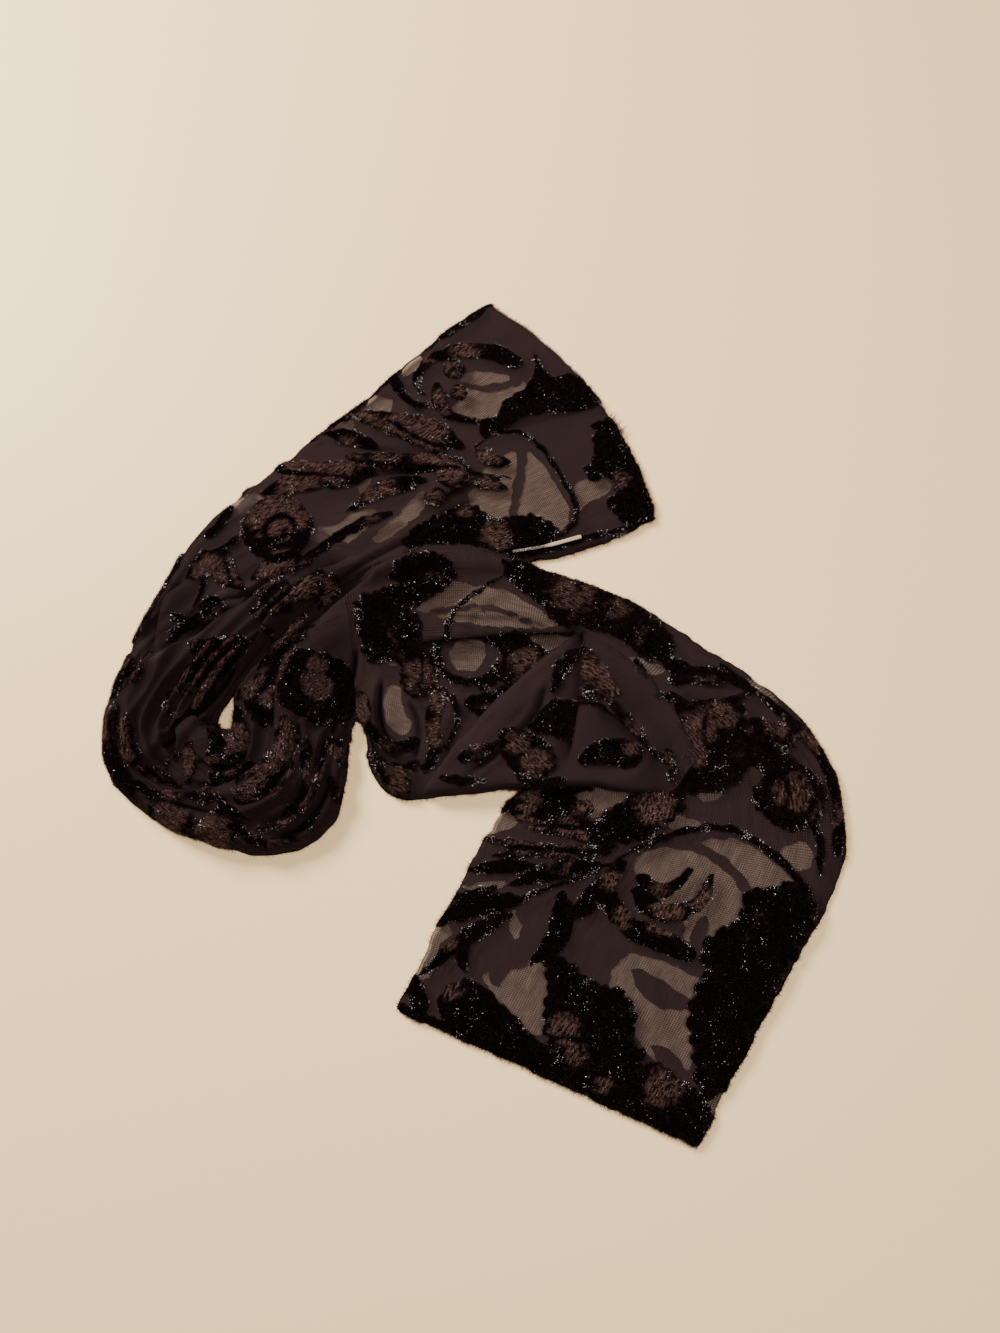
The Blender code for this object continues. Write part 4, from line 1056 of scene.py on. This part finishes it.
def velvet_back_cloth():
    # The layers below: dark brown backs of velvet, greyer where two bare layers let light in.
    material, tree = new_material("velvet_back_cloth")
    bare = node(tree, "ShaderNodeAttribute", attribute_name="bare")
    colour = node(tree, "ShaderNodeMix", {6: tone("#241b1c"), 7: tone("#5a4f49")}, {0: bare.outputs["Fac"]},
                  data_type="RGBA")
    cloth = node(tree, "ShaderNodeBsdfPrincipled", {"Roughness": 0.9, "Specular IOR Level": 0.0},
                 {"Base Color": colour.outputs[2]})
    node(tree, "ShaderNodeOutputMaterial", links={"Surface": cloth.outputs[0]})
    return material


def rayon_pile_fibres():
    # Single tufts of the pile and loose fibres: near black, with a painted brown highlight where tufts lean
    # to the light; loose threads and fuzz take some of the same brown as their own colour.
    material, tree = new_material("rayon_pile_fibres")
    glow = node(tree, "ShaderNodeAttribute", attribute_name="brown_sheen_and_tone")
    colour = node(tree, "ShaderNodeMix", {6: tone("#070405"), 7: tone("#7a5c57")}, {0: glow.outputs["Fac"]},
                  data_type="RGBA")
    tuft = node(tree, "ShaderNodeBsdfPrincipled", {"Roughness": 0.5, "Specular IOR Level": 0.05},
                {"Base Color": colour.outputs[2]})
    node(tree, "ShaderNodeOutputMaterial", links={"Surface": tuft.outputs[0]})
    return material


def cotton_tape():
    # A narrow cream cotton tape with a slightly linty surface, specked grey along its worn half.
    material, tree = new_material("cotton_tape")
    worn = node(tree, "ShaderNodeAttribute", attribute_name="worn")
    place = node(tree, "ShaderNodeTexCoord")
    lint = node(tree, "ShaderNodeTexNoise", {"Scale": TAPE_LINT / MM, "Detail": 3.0},
                {"Vector": place.outputs["Object"]})
    specks = node(tree, "ShaderNodeMapRange", {"From Min": 0.32, "From Max": 0.5},
                  {"Value": lint.outputs["Fac"]})
    rubbed = node(tree, "ShaderNodeMath", links={0: specks.outputs[0], 1: worn.outputs["Fac"]},
                  operation="MULTIPLY")
    colour = node(tree, "ShaderNodeMix", {6: tone("#a3947d"), 7: tone("#3c3638")}, {0: rubbed.outputs[0]},
                  data_type="RGBA")
    raised = node(tree, "ShaderNodeBump", {"Strength": 0.5, "Distance": 0.0002},
                  {"Height": lint.outputs["Fac"]})
    tape = node(tree, "ShaderNodeBsdfPrincipled", {"Roughness": 0.75, "Specular IOR Level": 0.2},
                {"Base Color": colour.outputs[2], "Normal": raised.outputs[0]})
    node(tree, "ShaderNodeOutputMaterial", links={"Surface": tape.outputs[0]})
    return material


def plain_material(name, code, roughness, specular):
    """One even finish all over."""
    material, tree = new_material(name)
    shader = node(tree, "ShaderNodeBsdfPrincipled",
                  {"Base Color": tone(code), "Roughness": roughness, "Specular IOR Level": specular})
    node(tree, "ShaderNodeOutputMaterial", links={"Surface": shader.outputs[0]})
    return material


def add_mesh(name, points, faces, materials, values=None, uv=None, smooth=True):
    """A named piece from points in millimetres, with a value for each point under each name in values."""
    mesh = bpy.data.meshes.new(name)
    mesh.from_pydata(((np.asarray(points) - BOX_CENTRE) * MM).tolist(), [], faces)
    for label, numbers in (values or {}).items():
        layer = mesh.attributes.new(label, "FLOAT", "POINT")
        layer.data.foreach_set("value", np.asarray(numbers, np.float32).ravel())
    if uv is not None:
        corners = np.empty(len(mesh.loops), np.int32)
        mesh.loops.foreach_get("vertex_index", corners)
        layer = mesh.uv_layers.new(name="cloth")
        layer.data.foreach_set("uv", (np.asarray(uv)[corners] * MM).astype(np.float32).ravel())
    if smooth:
        mesh.shade_smooth()
    for material in materials:
        mesh.materials.append(material)
    piece = bpy.data.objects.new(name, mesh)
    bpy.context.scene.collection.objects.link(piece)
    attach(piece, "root")
    return piece


def ring_faces(rows, ring):
    """Faces of a closed tube of rows, each a ring of so many points."""
    i = np.arange(rows - 1)[:, None] * ring
    k = np.arange(ring)[None, :]
    after = (k + 1) % ring
    return np.stack([i + k, i + after, i + ring + after, i + ring + k], axis=-1).reshape(-1, 4).tolist()


def sheet_faces(rows, columns):
    """Faces of an open sheet of points."""
    i = np.arange(rows - 1)[:, None] * columns
    k = np.arange(columns - 1)[None, :]
    return np.stack([i + k, i + k + 1, i + columns + k + 1, i + columns + k], axis=-1).reshape(-1, 4).tolist()


def faced_up(piece, face):
    """Turns a piece's faces over if the given one, which should look up, looks down."""
    if piece.data.polygons[face].normal.z < 0:
        piece.data.flip_normals()
    return piece


def closed_tube(name, top, bottom, material, values, face):
    """A solid strip between a top and a bottom grid of points, capped at both ends."""
    ring = np.concatenate([top, bottom], axis=1)
    rows, around = ring.shape[:2]
    faces = ring_faces(rows, around)
    faces.append(list(range(around)))
    faces.append(list(reversed(range((rows - 1) * around, rows * around))))
    return faced_up(add_mesh(name, ring.reshape(-1, 3), faces, [material], values), face)


def raised_pile(base, depth):
    """A surface with its pile raised where the pattern has depth."""
    return base + normals_of(base) * (PILE_HEIGHT * soft_step((depth + PILE_EDGE) / PILE_SLOPE))[..., None]


def layer_pattern(seed):
    """How the pattern of one layer is measured, with that layer's own wandering edges."""
    return lambda shapes, points: pattern_depth(shapes, wavered(points, seed))


def way_back(grid):
    """The lower cloth's grid from right to left, without the edges that it shares with the upper cloth."""
    return grid[:, ::-1][:, 1:-1]


def bunching(cloth):
    """0 where the cloth lies flat, rising to 1 where its layers are bunched."""
    return (cloth.rim - FLAT_RIM) / BUNCHED_RIM_RISE


def stretch_of(cloth):
    """The stretch's number for each row of the scarf."""
    ends = np.cumsum([len(sections) for sections in STRETCHES.values()]) - 1
    return np.searchsorted(ends, cloth.index - TINY, side="left").clip(0, len(STRETCHES) - 1)


def fold_heights(cloth, stretch):
    """What the folds do to each point, each group of folds on its own stretches."""
    names = list(STRETCHES)
    shape = cloth.plan.shape
    total, push, dark = np.zeros(shape[:2]), np.zeros(shape), np.zeros(shape[:2])
    for group, folds in FOLDS.items():
        rows = np.flatnonzero(np.isin(stretch, [names.index(name) for name in group]))
        spot = cloth.plan[rows].reshape(-1, 2)
        raised, pushed, darkened = relief(folds, spot)
        total[rows] += raised.reshape(len(rows), -1)
        push[rows] += pushed.reshape(len(rows), -1, 2)
        dark[rows] = np.maximum(dark[rows], darkened.reshape(len(rows), -1))
    return total, push, dark


def by_part(stretch, plan, first, second, measure):
    """One measure of the pattern on the rows up to the gather, and another on the rows after it."""
    result = np.zeros(plan.shape[:2])
    late = stretch >= MIDDLE_NO
    for rows, shapes in ((np.flatnonzero(~late), first), (np.flatnonzero(late), second)):
        result[rows] = measure(shapes, plan[rows].reshape(-1, 2)).reshape(len(rows), -1)
    return result


def lay_upper(cloth, stretch):
    """The upper cloth's heights over what lies below it."""
    bunched = bunching(cloth)
    folds, push, dark = fold_heights(cloth, stretch)
    push *= np.clip(cloth.distance / 8, 0, 1)[..., None]
    lengthways = np.stack([cloth.across * cloth.width, cloth.walked * 0.16], axis=-1).reshape(-1, 2)
    creases = (0.6 - np.abs(cloth.spread(wander(lengthways, CREASE_PITCH, 51)))) * CREASE_HEIGHT * bunched
    swell = cloth.spread(wander(cloth.points(), SWELL_PITCH, 52)) * SWELL_HEIGHT
    stand = cloth.rim + UPPER_BASE + cloth.lift + folds + creases + swell - EDGE_HEIGHT
    from_hem = np.minimum(cloth.outer, cloth.total - cloth.outer)
    closing = HEM_OPENING + (1 - HEM_OPENING) * rounded(from_hem, HEM_ROLL)
    height = EDGE_HEIGHT + stand * rounded(cloth.distance) * closing
    # Painted shade over the folds and over all the bunched stretches, partly for the layers bunched below and
    # partly for the shade between them; it fades within 4 mm of the long edges.
    dark = np.maximum(dark, BUNCHED_DARK * np.clip(bunched, 0, 1)) * np.clip(cloth.distance / 4, 0, 1)
    return np.maximum(height, EDGE_HEIGHT + LEAST_STAND * rounded(cloth.distance)), push, dark


def crests(cloth, height):
    """How far each point of the bunched stretches stands up over the cloth either side of it."""
    padded = np.pad(height, ((0, 0), (CREST_REACH, CREST_REACH)), "edge")
    total = np.cumsum(np.pad(padded, ((0, 0), (1, 0))), axis=1)
    span = 2 * CREST_REACH + 1
    mean = (total[:, span:] - total[:, :-span]) / span
    return soft_step((height - mean - 0.65) / 0.8) * np.clip(bunching(cloth), 0, 1)


def painted_highlight_patches(glow, cloth, depth):
    """Where the pile gets its painted brown highlight: uneven patches inside the shapes, with a black rim
    left round them.
    """
    spot = cloth.points()
    broad = wander(spot, 16, 66) * 0.3 + wander(spot, 6, 67) * 0.3
    uneven = cloth.spread(broad + wander(spot, 2.6, 68) * 0.15)
    rim = depth + cloth.spread(wander(spot, 9, 69)) * 0.9
    patches = soft_step((glow + uneven * (0.35 + 0.65 * glow) - 0.22) / 0.35)
    return patches * soft_step(rim - 0.3) * (0.6 + 0.4 * glow)


def rooted(chance, surface, grids, count):
    """Random places on a surface's grid, more where the chance is greater, and each grid read there."""
    picked = rng.choice(chance.size, count, p=chance.ravel() / chance.sum())
    row, column = np.unravel_index(picked, chance.shape)
    s, t = rng.random((2, count))

    def read(grid):
        a, b = (s, t) if grid.ndim == 2 else (s[:, None], t[:, None])
        near_row = grid[row, column] * (1 - a) + grid[row + 1, column] * a
        far_row = grid[row, column + 1] * (1 - a) + grid[row + 1, column + 1] * a
        return near_row * (1 - b) + far_row * b

    return [read(grid) for grid in (surface, normals_of(surface), *grids)]


def cell_areas(surface):
    """The area of each cell of a surface's grid."""
    a, b, c, d = surface[:-1, :-1], surface[1:, :-1], surface[1:, 1:], surface[:-1, 1:]
    return np.linalg.norm(np.cross(c - a, d - b), axis=-1) / 2


def unit(vectors):
    """The same directions, each of length 1."""
    return vectors / np.maximum(np.linalg.norm(vectors, axis=1, keepdims=True), TINY)


def blades(name, root, heading, aside, reach, girth, material, values=None):
    """Thin triangles that stand on their roots."""
    corners = [root - aside * girth / 2, root + aside * girth / 2, root + heading * reach]
    points = np.stack(corners, axis=1).reshape(-1, 3)
    points[:, 2] = np.maximum(points[:, 2], 0.1)
    faces = np.arange(len(points)).reshape(-1, 3).tolist()
    return add_mesh(name, points, faces, [material], values, smooth=False)


def outward(surface, depth):
    """The way out of the nearest shape's edge, along the surface."""
    along = np.gradient(surface, axis=0)
    across = np.gradient(surface, axis=1)
    along_share = np.gradient(depth, axis=0) / np.maximum((along**2).sum(axis=-1), TINY)
    across_share = np.gradient(depth, axis=1) / np.maximum((across**2).sum(axis=-1), TINY)
    steepest = along * along_share[..., None] + across * across_share[..., None]
    return -steepest / np.maximum(np.linalg.norm(steepest, axis=-1, keepdims=True), TINY)


def fibres(name, surface, depth, glow, place, count):
    """Pile tufts, with a painted brown highlight in short strokes along the scarf where the pile leans
    towards the light.
    """
    inside = (depth[:-1, :-1] + depth[1:, 1:]) / 2
    chance = cell_areas(surface) * (inside > -0.3) * (1 + 1.2 * (inside < 1.2))
    read = rooted(chance, surface, (depth, glow, place, outward(surface, depth)), count)
    keep = read[2] > 0
    root, up, deep, light, flat, away = (grid[keep] for grid in read)
    swirl = wander(root[:, :2], 12, 71) * 1.4 + wander(root[:, :2], 5, 72) * 0.6 + 0.6
    along = np.stack([np.cos(swirl), np.sin(swirl), np.zeros(len(root))], axis=1)
    rim = np.clip(1 - deep / RIM_DEPTH, 0, 1)[:, None]
    lean = up * (0.72 - 0.35 * rim) + along * 0.28 + away * 0.8 * rim
    heading = unit(lean + rng.normal(0, 0.26, root.shape))
    aside = unit(np.cross(heading, rng.normal(0, 1, root.shape)))
    reach = TUFT_LENGTH * rng.uniform(0.6, 1.2, (len(root), 1)) * np.clip(0.55 + deep / 3, 0, 1)[:, None]
    girth = TUFT_WIDTH * rng.uniform(0.7, 1.3, (len(root), 1))
    rows = np.sin(flat[:, 0] * 2 * math.pi / STROKE_PITCH + 2.4 * wander(root[:, :2], 10, 62))
    breaks = wander(flat * (1.0, 0.45), 2.4, 63)
    stroke = soft_step(0.45 + 0.7 * rows + 0.9 * breaks) * light * rng.uniform(0.45, 1.2, len(root))
    stroke = stroke + rng.uniform(0, 0.1, len(root))
    shade = np.clip(stroke[:, None] * (0.7, 0.7, 1.0), 0, 1)
    piece = blades(name, root, heading, aside, reach, girth, MATERIALS["fibre"], {"brown_sheen_and_tone": shade})


def edge_fuzz(surface, depth):
    """Loose fibres that stand out along the long edges and the hems, most where pile reaches them."""
    roots, headings = [], []
    for line, inner, deep, count in (
        (surface[:, 0], surface[:, 6], depth[:, 3], 6500),
        (surface[:, -1], surface[:, -7], depth[:, -4], 6500),
        (surface[0], surface[4], depth[3], 1800),
        (surface[-1], surface[-5], depth[-4], 2400),
    ):
        place = rng.uniform(0, len(line) - 1.001, count)
        low = place.astype(int)
        part = (place - low)[:, None]
        root = line[low] * (1 - part) + line[low + 1] * part
        away = unit((line - inner)[low] * (1, 1, 0))
        tangle = rng.normal(0, 0.45, root.shape) * (1, 1, 0.4) + (0, 0, 0.15)
        keep = rng.random(count) < np.where(deep[low] > 0, 1.0, 0.35)
        roots.append(root[keep])
        headings.append(unit(away + tangle)[keep])
    root, heading = np.concatenate(roots), np.concatenate(headings)
    aside = unit(np.cross(heading, rng.normal(0, 0.3, root.shape) + (0, 0, 1)))
    reach = 0.9 + 2.5 * rng.random((len(root), 1)) ** 2.5
    girth = rng.uniform(0.12, 0.24, (len(root), 1))
    shades = {"brown_sheen_and_tone": np.repeat(rng.uniform(0, 0.35, (len(root), 1)), 3, axis=1)}
    root = root - heading * 0.3
    piece = blades("edge_fuzz", root, heading, aside, reach, girth, MATERIALS["fibre"], shades)


def frayed_threads(hem):
    """A few ends of thread that have worked loose at end A's hem."""
    loose = hem[(hem[:, 1] > 150) & (hem[:, 1] < 164) & (hem[:, 0] > 60)]
    root = loose[rng.integers(len(loose), size=THREAD_COUNT)]
    root = root + rng.normal(0, 0.3, (THREAD_COUNT, 3)) * (1, 1, 0)
    heading = unit(rng.normal(0, 0.2, (THREAD_COUNT, 3)) + (0.6, 0.75, 0.15))
    aside = unit(np.cross(heading, (0, 0, 1)))
    reach = rng.uniform(3.0, 8.0, (THREAD_COUNT, 1))
    girth = np.full((THREAD_COUNT, 1), 0.42)
    shades = {"brown_sheen_and_tone": np.ones((THREAD_COUNT, 3))}
    piece = blades("frayed_threads", root, heading, aside, reach, girth, MATERIALS["fibre"], shades)


def glints(name, surface, depth, count):
    """Shiny pale tips in chains along the pattern's edges: painted glints, with a shiny finish of their own
    as well.
    """
    inside = (depth[:-1, :-1] + depth[1:, 1:]) / 2
    spot = surface[:-1, :-1, :2].reshape(-1, 2)
    clusters = np.clip(wander(spot, 26, 60) + 0.25, 0, 0.8) * np.clip(wander(spot, 7, 61) + 0.4, 0, 1) + 0.02
    clusters = clusters + 0.08 * (inside.ravel() > 0) * soft_step((surface[:-1, :-1, 2].ravel() - 12) / 4)
    chains = clusters.reshape(inside.shape) * (normals_of(surface)[:-1, :-1, 2] > 0.75)
    at_edge = (inside > -0.2) & (inside < 1.2)
    chance = cell_areas(surface) * chains * np.where(at_edge, 1.0, 0.16 * (inside > 0))
    root, up = rooted(chance, surface, (), count)
    heading = unit(rng.normal(0, 1, root.shape) * (1, 1, 0.25) + up * 0.25)
    aside = unit(np.cross(up + rng.normal(0, 0.25, root.shape), heading))
    size = rng.uniform(0, 1, (len(root), 1)) ** 2.5
    root = root + up * rng.uniform(0.5, 1.3, (len(root), 1))
    piece = blades(name, root, heading, aside, 0.22 + 0.46 * size, 0.1 + 0.22 * size, MATERIALS["glint"])


def climb_of(cloth, middle):
    """0 before the middle stretch, rising softly to 1 where it lies on the cloth below."""
    begun = cloth.outer[np.flatnonzero(middle)[0], 0]
    return np.where(middle[:, None], soft_step((cloth.outer - begun) / CLIMB_LENGTH), 0)


def join_layers(surface, upper_depth, glow, dark, upper, under, under_ground, under_depth):
    """The tube's mesh: the upper cloth from left to right and the lower one back again."""
    hanging = UNDER_PILE_HEIGHT * soft_step((under_depth + PILE_EDGE) / PILE_SLOPE)
    under_height = under_ground + UNDER_HEIGHT - hanging
    lower = way_back(np.dstack([under.plan, under_height]))
    lower_depth = way_back(under_depth)
    plain = np.zeros(lower_depth.shape)
    ring = np.concatenate([surface, lower], axis=1)
    rows, around = ring.shape[:2]
    depth = np.concatenate([upper_depth, lower_depth], axis=1)
    values = {
        "pile_depth": depth,
        "brown_sheen_and_tone": np.concatenate([glow, plain], axis=1),
        "melt": np.ones(depth.shape),
        "painted_fold_shade": np.concatenate([dark, plain], axis=1),
    }
    flat_across = [upper.across * FLAT_WIDTH, 2 * FLAT_WIDTH - way_back(under.across * FLAT_WIDTH)]
    flat_across = np.concatenate(flat_across, axis=1)
    walked = np.broadcast_to(upper.walked[:, :1], flat_across.shape)
    uv = np.stack([flat_across, walked], axis=-1).reshape(-1, 2)
    faces = ring_faces(rows, around)
    cloth = add_mesh("scarf_cloth", ring.reshape(-1, 3), faces, [MATERIALS["cloth"]], values, uv)
    return faced_up(cloth, around * 10 + UPPER_COLUMNS // 2)


def build_scarf():
    """The tube of cloth, the layers hidden in its bunched part, the lapped pleat, the tape and the pile."""
    shares = np.linspace(0, 1, UPPER_COLUMNS + 1)
    columns = shares - 0.05 * np.sin(2 * math.pi * shares)
    sections = [section for stretch in STRETCHES.values() for section in stretch]
    upper = Cloth(sections, columns, ROW_STEP)
    under = Cloth(sections, np.linspace(0, 1, UNDER_COLUMNS + 1), ROW_STEP)
    stretch = stretch_of(upper)
    end_a_span = upper.outer[np.flatnonzero(stretch == END_A_NO)[-1], 0]
    upper.bulge_start(END_A_BULGE, end_a_span)
    under.bulge_start(END_A_BULGE, end_a_span)

    # The middle stretch lies on end A and the run.
    height, push, dark = lay_upper(upper, stretch)
    shifted = upper.plan + push
    first = np.flatnonzero(stretch <= RUN_NO)
    laid = height_map(np.dstack([shifted[first], height[first] + PILE_HEIGHT]))
    support = blanket(laid, 2, 5)
    middle = stretch == MIDDLE_NO
    height = height + read_map(support, shifted) * climb_of(upper, middle)
    under_ground = read_map(support, under.plan) * climb_of(under, middle)

    upper_depth = by_part(stretch, upper.plan, PILE_A, PILE_B, layer_pattern(UPPER_SEED))
    bare = by_part(stretch, under.plan, BARE_A, BARE_B, layer_pattern(UNDER_SEED))
    tongues = by_part(stretch, under.plan, TONGUES_A, TONGUES_B, layer_pattern(TONGUE_SEED))
    under_depth = np.maximum(-bare, tongues)
    for side in (0, -1):
        upper_depth[:, side] = np.maximum(upper_depth[:, side], np.minimum(under_depth[:, side], 0.6))
    glow = by_part(stretch, upper.plan, (GLOWS_A, SHADES_A), (GLOWS_B, SHADES_B), glow_of)
    # Painted brown highlight on the pile, from the glow tables and from the crests of the bunched folds.
    glow = painted_highlight_patches(np.maximum(glow, CREST_GLOW * crests(upper, height)), upper, upper_depth)

    base = np.dstack([shifted, height])
    surface = raised_pile(base, upper_depth)
    cloth = join_layers(surface, upper_depth, glow, dark, upper, under, under_ground, under_depth)
    add_hidden_layers(base, stretch, upper)
    add_pleat(surface, stretch)
    add_label(laid)

    # Pile is one piece each for end A, all the bunched stretches, the middle, the turn and end B.
    place = np.dstack([upper.across * FLAT_WIDTH, upper.walked])
    first_no = END_A_NO
    for k, last_no in enumerate((END_A_NO, GATHER_NO, MIDDLE_NO, TURN_NO, END_B_NO)):
        picked = np.flatnonzero((stretch >= first_no) & (stretch <= last_no))
        first_no = last_no + 1
        part = slice(picked[0], picked[-1] + 2)
        grids = (grid[part] for grid in (surface, upper_depth, glow, place))
        fibres(f"pile_tufts_{k + 1}", *grids, TUFT_COUNT)
    glints("pile_glints", surface, upper_depth, GLINT_COUNT)
    edge_fuzz(surface, upper_depth)
    frayed_threads(surface[0])
    return cloth, upper


def add_hidden_layers(base, stretch, upper):
    """What fills the bunched stretches below their upper cloth."""
    picked = np.flatnonzero((stretch >= RUN_NO) & (stretch <= GATHER_NO))[::3]
    shares = np.linspace(0.05, 0.95, 26)
    columns = np.interp(shares, upper.across[0], np.arange(upper.across.shape[1]))
    low = np.floor(columns).astype(int)
    part = (columns - low)[None, :, None]
    top = base[picked][:, low] * (1 - part) + base[picked][:, low + 1] * part
    top[..., 2] = np.maximum(top[..., 2] - LAYER_BELOW, 0.6)
    floor = top[:, ::-1].copy()
    floor[..., 2] = SURFACE_GAP
    plan = np.concatenate([top, floor], axis=1)[..., :2].reshape(-1, 2)
    bare = layer_pattern(UNDER_SEED)(BARE_A, plan)
    values = {"bare": soft_step((bare + 0.4) / 0.8)}
    piece = closed_tube("hidden_layers", top, floor, MATERIALS["back"], values, 10)
    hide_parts("run_hidden_folds", "loop_hidden_folds", "gather_hidden_folds")


def add_pleat(surface, stretch):
    """The wedge of spare cloth that laps back over the turn, with the layers below it and its pile."""
    pleat = Cloth(PLEAT, np.linspace(0, 1, PLEAT_COLUMNS + 1), PLEAT_ROW_STEP)
    pleat.bulge_start(PLEAT_BULGE, pleat.total)
    support = blanket(height_map(surface[np.flatnonzero(stretch >= MIDDLE_NO)]), 1, 4)
    floor = read_map(support, pleat.plan)
    sides = (pleat.plan[:1], pleat.plan[:, -1:], pleat.plan[:, :1], pleat.plan[-1:])
    from_start, from_edge, from_turn, from_finish = (
        np.linalg.norm(pleat.plan - side, axis=-1) for side in sides
    )
    rise = soft_step(from_turn / PLEAT_RISE) * soft_step(from_finish / 20)
    from_free = np.minimum(from_start, from_edge)
    free = rounded(from_free, 3.5) * rise
    folds, push, dark = relief(PLEAT_FOLDS, pleat.points())
    stand = np.maximum(pleat.rim, LEAST_STAND) + pleat.lift + pleat.spread(folds)
    height = floor + 0.35 + stand * free
    slack = np.clip(np.minimum(from_free, np.minimum(from_turn, from_finish)) / 8, 0, 1)
    base = np.dstack([pleat.plan + push.reshape(pleat.plan.shape) * slack[..., None], height])
    depth = pleat.spread(layer_pattern(UPPER_SEED)(PILE_PLEAT, pleat.points()))
    glow = painted_highlight_patches(pleat.spread(glow_of((GLOWS_PLEAT, ()), pleat.points())), pleat, depth)
    top = raised_pile(base, depth)

    # Its material fades out at the turn and at its last row, where the real cloth goes on without a break.
    melt = soft_step(np.minimum(from_turn / 5, from_finish / 6) + 0.02)
    place = np.dstack([pleat.across * pleat.width, pleat.walked])
    values = {"pile_depth": depth, "brown_sheen_and_tone": glow, "melt": melt, "painted_fold_shade": pleat.spread(dark)}
    rows, wide = depth.shape
    faces = sheet_faces(rows, wide)
    uv = place.reshape(-1, 2)
    cloth = add_mesh("pleat_cloth", top.reshape(-1, 3), faces, [MATERIALS["cloth"]], values, uv)
    faced_up(cloth, rows * wide // 2)
    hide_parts("pleat_upper")

    inner = base[::2, ::3].copy()
    inner[..., 2] -= 0.8 * np.clip(free[::2, ::3] * 3, 0, 1) + 0.15
    below = inner[:, ::-1].copy()
    below[..., 2] = np.minimum(read_map(support, below[..., :2]) + 0.05, below[..., 2] - 0.02)
    values = {"bare": np.zeros(2 * inner.shape[0] * inner.shape[1])}
    piece = closed_tube("pleat_layers", inner, below, MATERIALS["back"], values, 10)
    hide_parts("pleat_hidden_folds")
    fibres("pile_tufts_pleat", top, depth, glow, place, PLEAT_TUFT_COUNT)
    glints("pile_glints_pleat", top, depth, PLEAT_GLINT_COUNT)


def add_label(laid):
    """The blank tape that shows beside end A's long seam."""
    line, _ = soft_line(((22, 78), (41, 81.5), (61, 87)), np.linspace(0, 1, 40))
    step = np.gradient(line, axis=0)
    aside = np.stack([-step[:, 1], step[:, 0]], axis=1) / np.linalg.norm(step, axis=1, keepdims=True)
    shares = np.linspace(-0.5, 0.5, 7)
    worn = 1 - soft_step((np.linspace(0, 1, 40) - 0.42) / 0.16)
    width = 2.1 - 0.6 * worn + 0.15 * wander(line, 3, 77)
    plan = line[:, None] + aside[:, None] * shares[None, :, None] * width[:, None, None]
    height = read_map(blanket(laid, 1, 2), plan) + 0.7 + 0.25 * np.cos(shares * 2)[None, :]
    top = np.dstack([plan, height])
    bottom = top[:, ::-1].copy()
    bottom[..., 2] -= 0.45
    values = {"worn": np.repeat(worn, 2 * len(shares))}
    piece = closed_tube("blank_label_tape", top, bottom, MATERIALS["tape"], values, 3)
    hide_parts("label_tape")


def add_stage():
    """The plain pale floor."""
    mesh = bpy.data.meshes.new("floor")
    half = 3.0
    corners = [(-half, -half, 0), (half, -half, 0), (half, half, 0), (-half, half, 0)]
    mesh.from_pydata(corners, [], [(0, 1, 2, 3)])
    mesh.materials.append(plain_material("pale_floor", "#f2d4a3", 0.5, 0.3))
    floor = bpy.data.objects.new("floor", mesh)
    bpy.context.scene.collection.objects.link(floor)


def add_light(name, spot, size, power, colour):
    """A round soft lamp that faces the scarf."""
    lamp = bpy.data.lights.new(name, "AREA")
    lamp.shape = "DISK"
    lamp.size = size
    lamp.energy = power
    lamp.color = colour
    holder = bpy.data.objects.new(name, lamp)
    holder.location = spot
    holder.rotation_euler = (-Vector(spot)).to_track_quat("-Z", "Y").to_euler()
    bpy.context.scene.collection.objects.link(holder)


def add_camera():
    """Stands in front of the scarf and looks steeply down, as the photograph does."""
    lens = bpy.data.cameras.new("camera")
    lens.lens = CAMERA_LENS
    camera = bpy.data.objects.new("camera", lens)
    camera.location = CAMERA_SPOT
    camera.rotation_euler = (math.radians(CAMERA_TILT), 0, 0)
    lens.clip_start = 0.01
    bpy.context.scene.collection.objects.link(camera)
    bpy.context.scene.camera = camera


MATERIALS = {
    "cloth": silk_chiffon_with_velvet_pile(),
    "back": velvet_back_cloth(),
    "fibre": rayon_pile_fibres(),
    # The glints' pale colour is a painted highlight, on a shiny finish.
    "glint": plain_material("pile_glint", "#bdb6bd", 0.25, 1.0),
    "tape": cotton_tape(),
}
cloth, upper = build_scarf()
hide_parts("end_a_under", "end_a_upper", "run_upper", "loop_upper", "gather_upper", "middle_under",
            "middle_upper", "turn_under", "turn_upper", "end_b_under", "end_b_upper")
# The area is the built mesh's own, so the check's area share is near 1 whatever the cloth's shape.
add_stage()
add_light("window", (-1.0, 0.9, 0.85), size=0.5, power=62, colour=(1.0, 0.93, 0.85))
add_light("lamp", (0.3, -0.1, 1.7), size=0.6, power=30, colour=(1.0, 0.90, 0.78))
add_camera()
world = bpy.data.worlds.new("room")
world.use_nodes = True
world.node_tree.nodes["Background"].inputs["Color"].default_value = (1.0, 0.93, 0.85, 1)
world.node_tree.nodes["Background"].inputs["Strength"].default_value = 0.16
bpy.context.scene.world = world
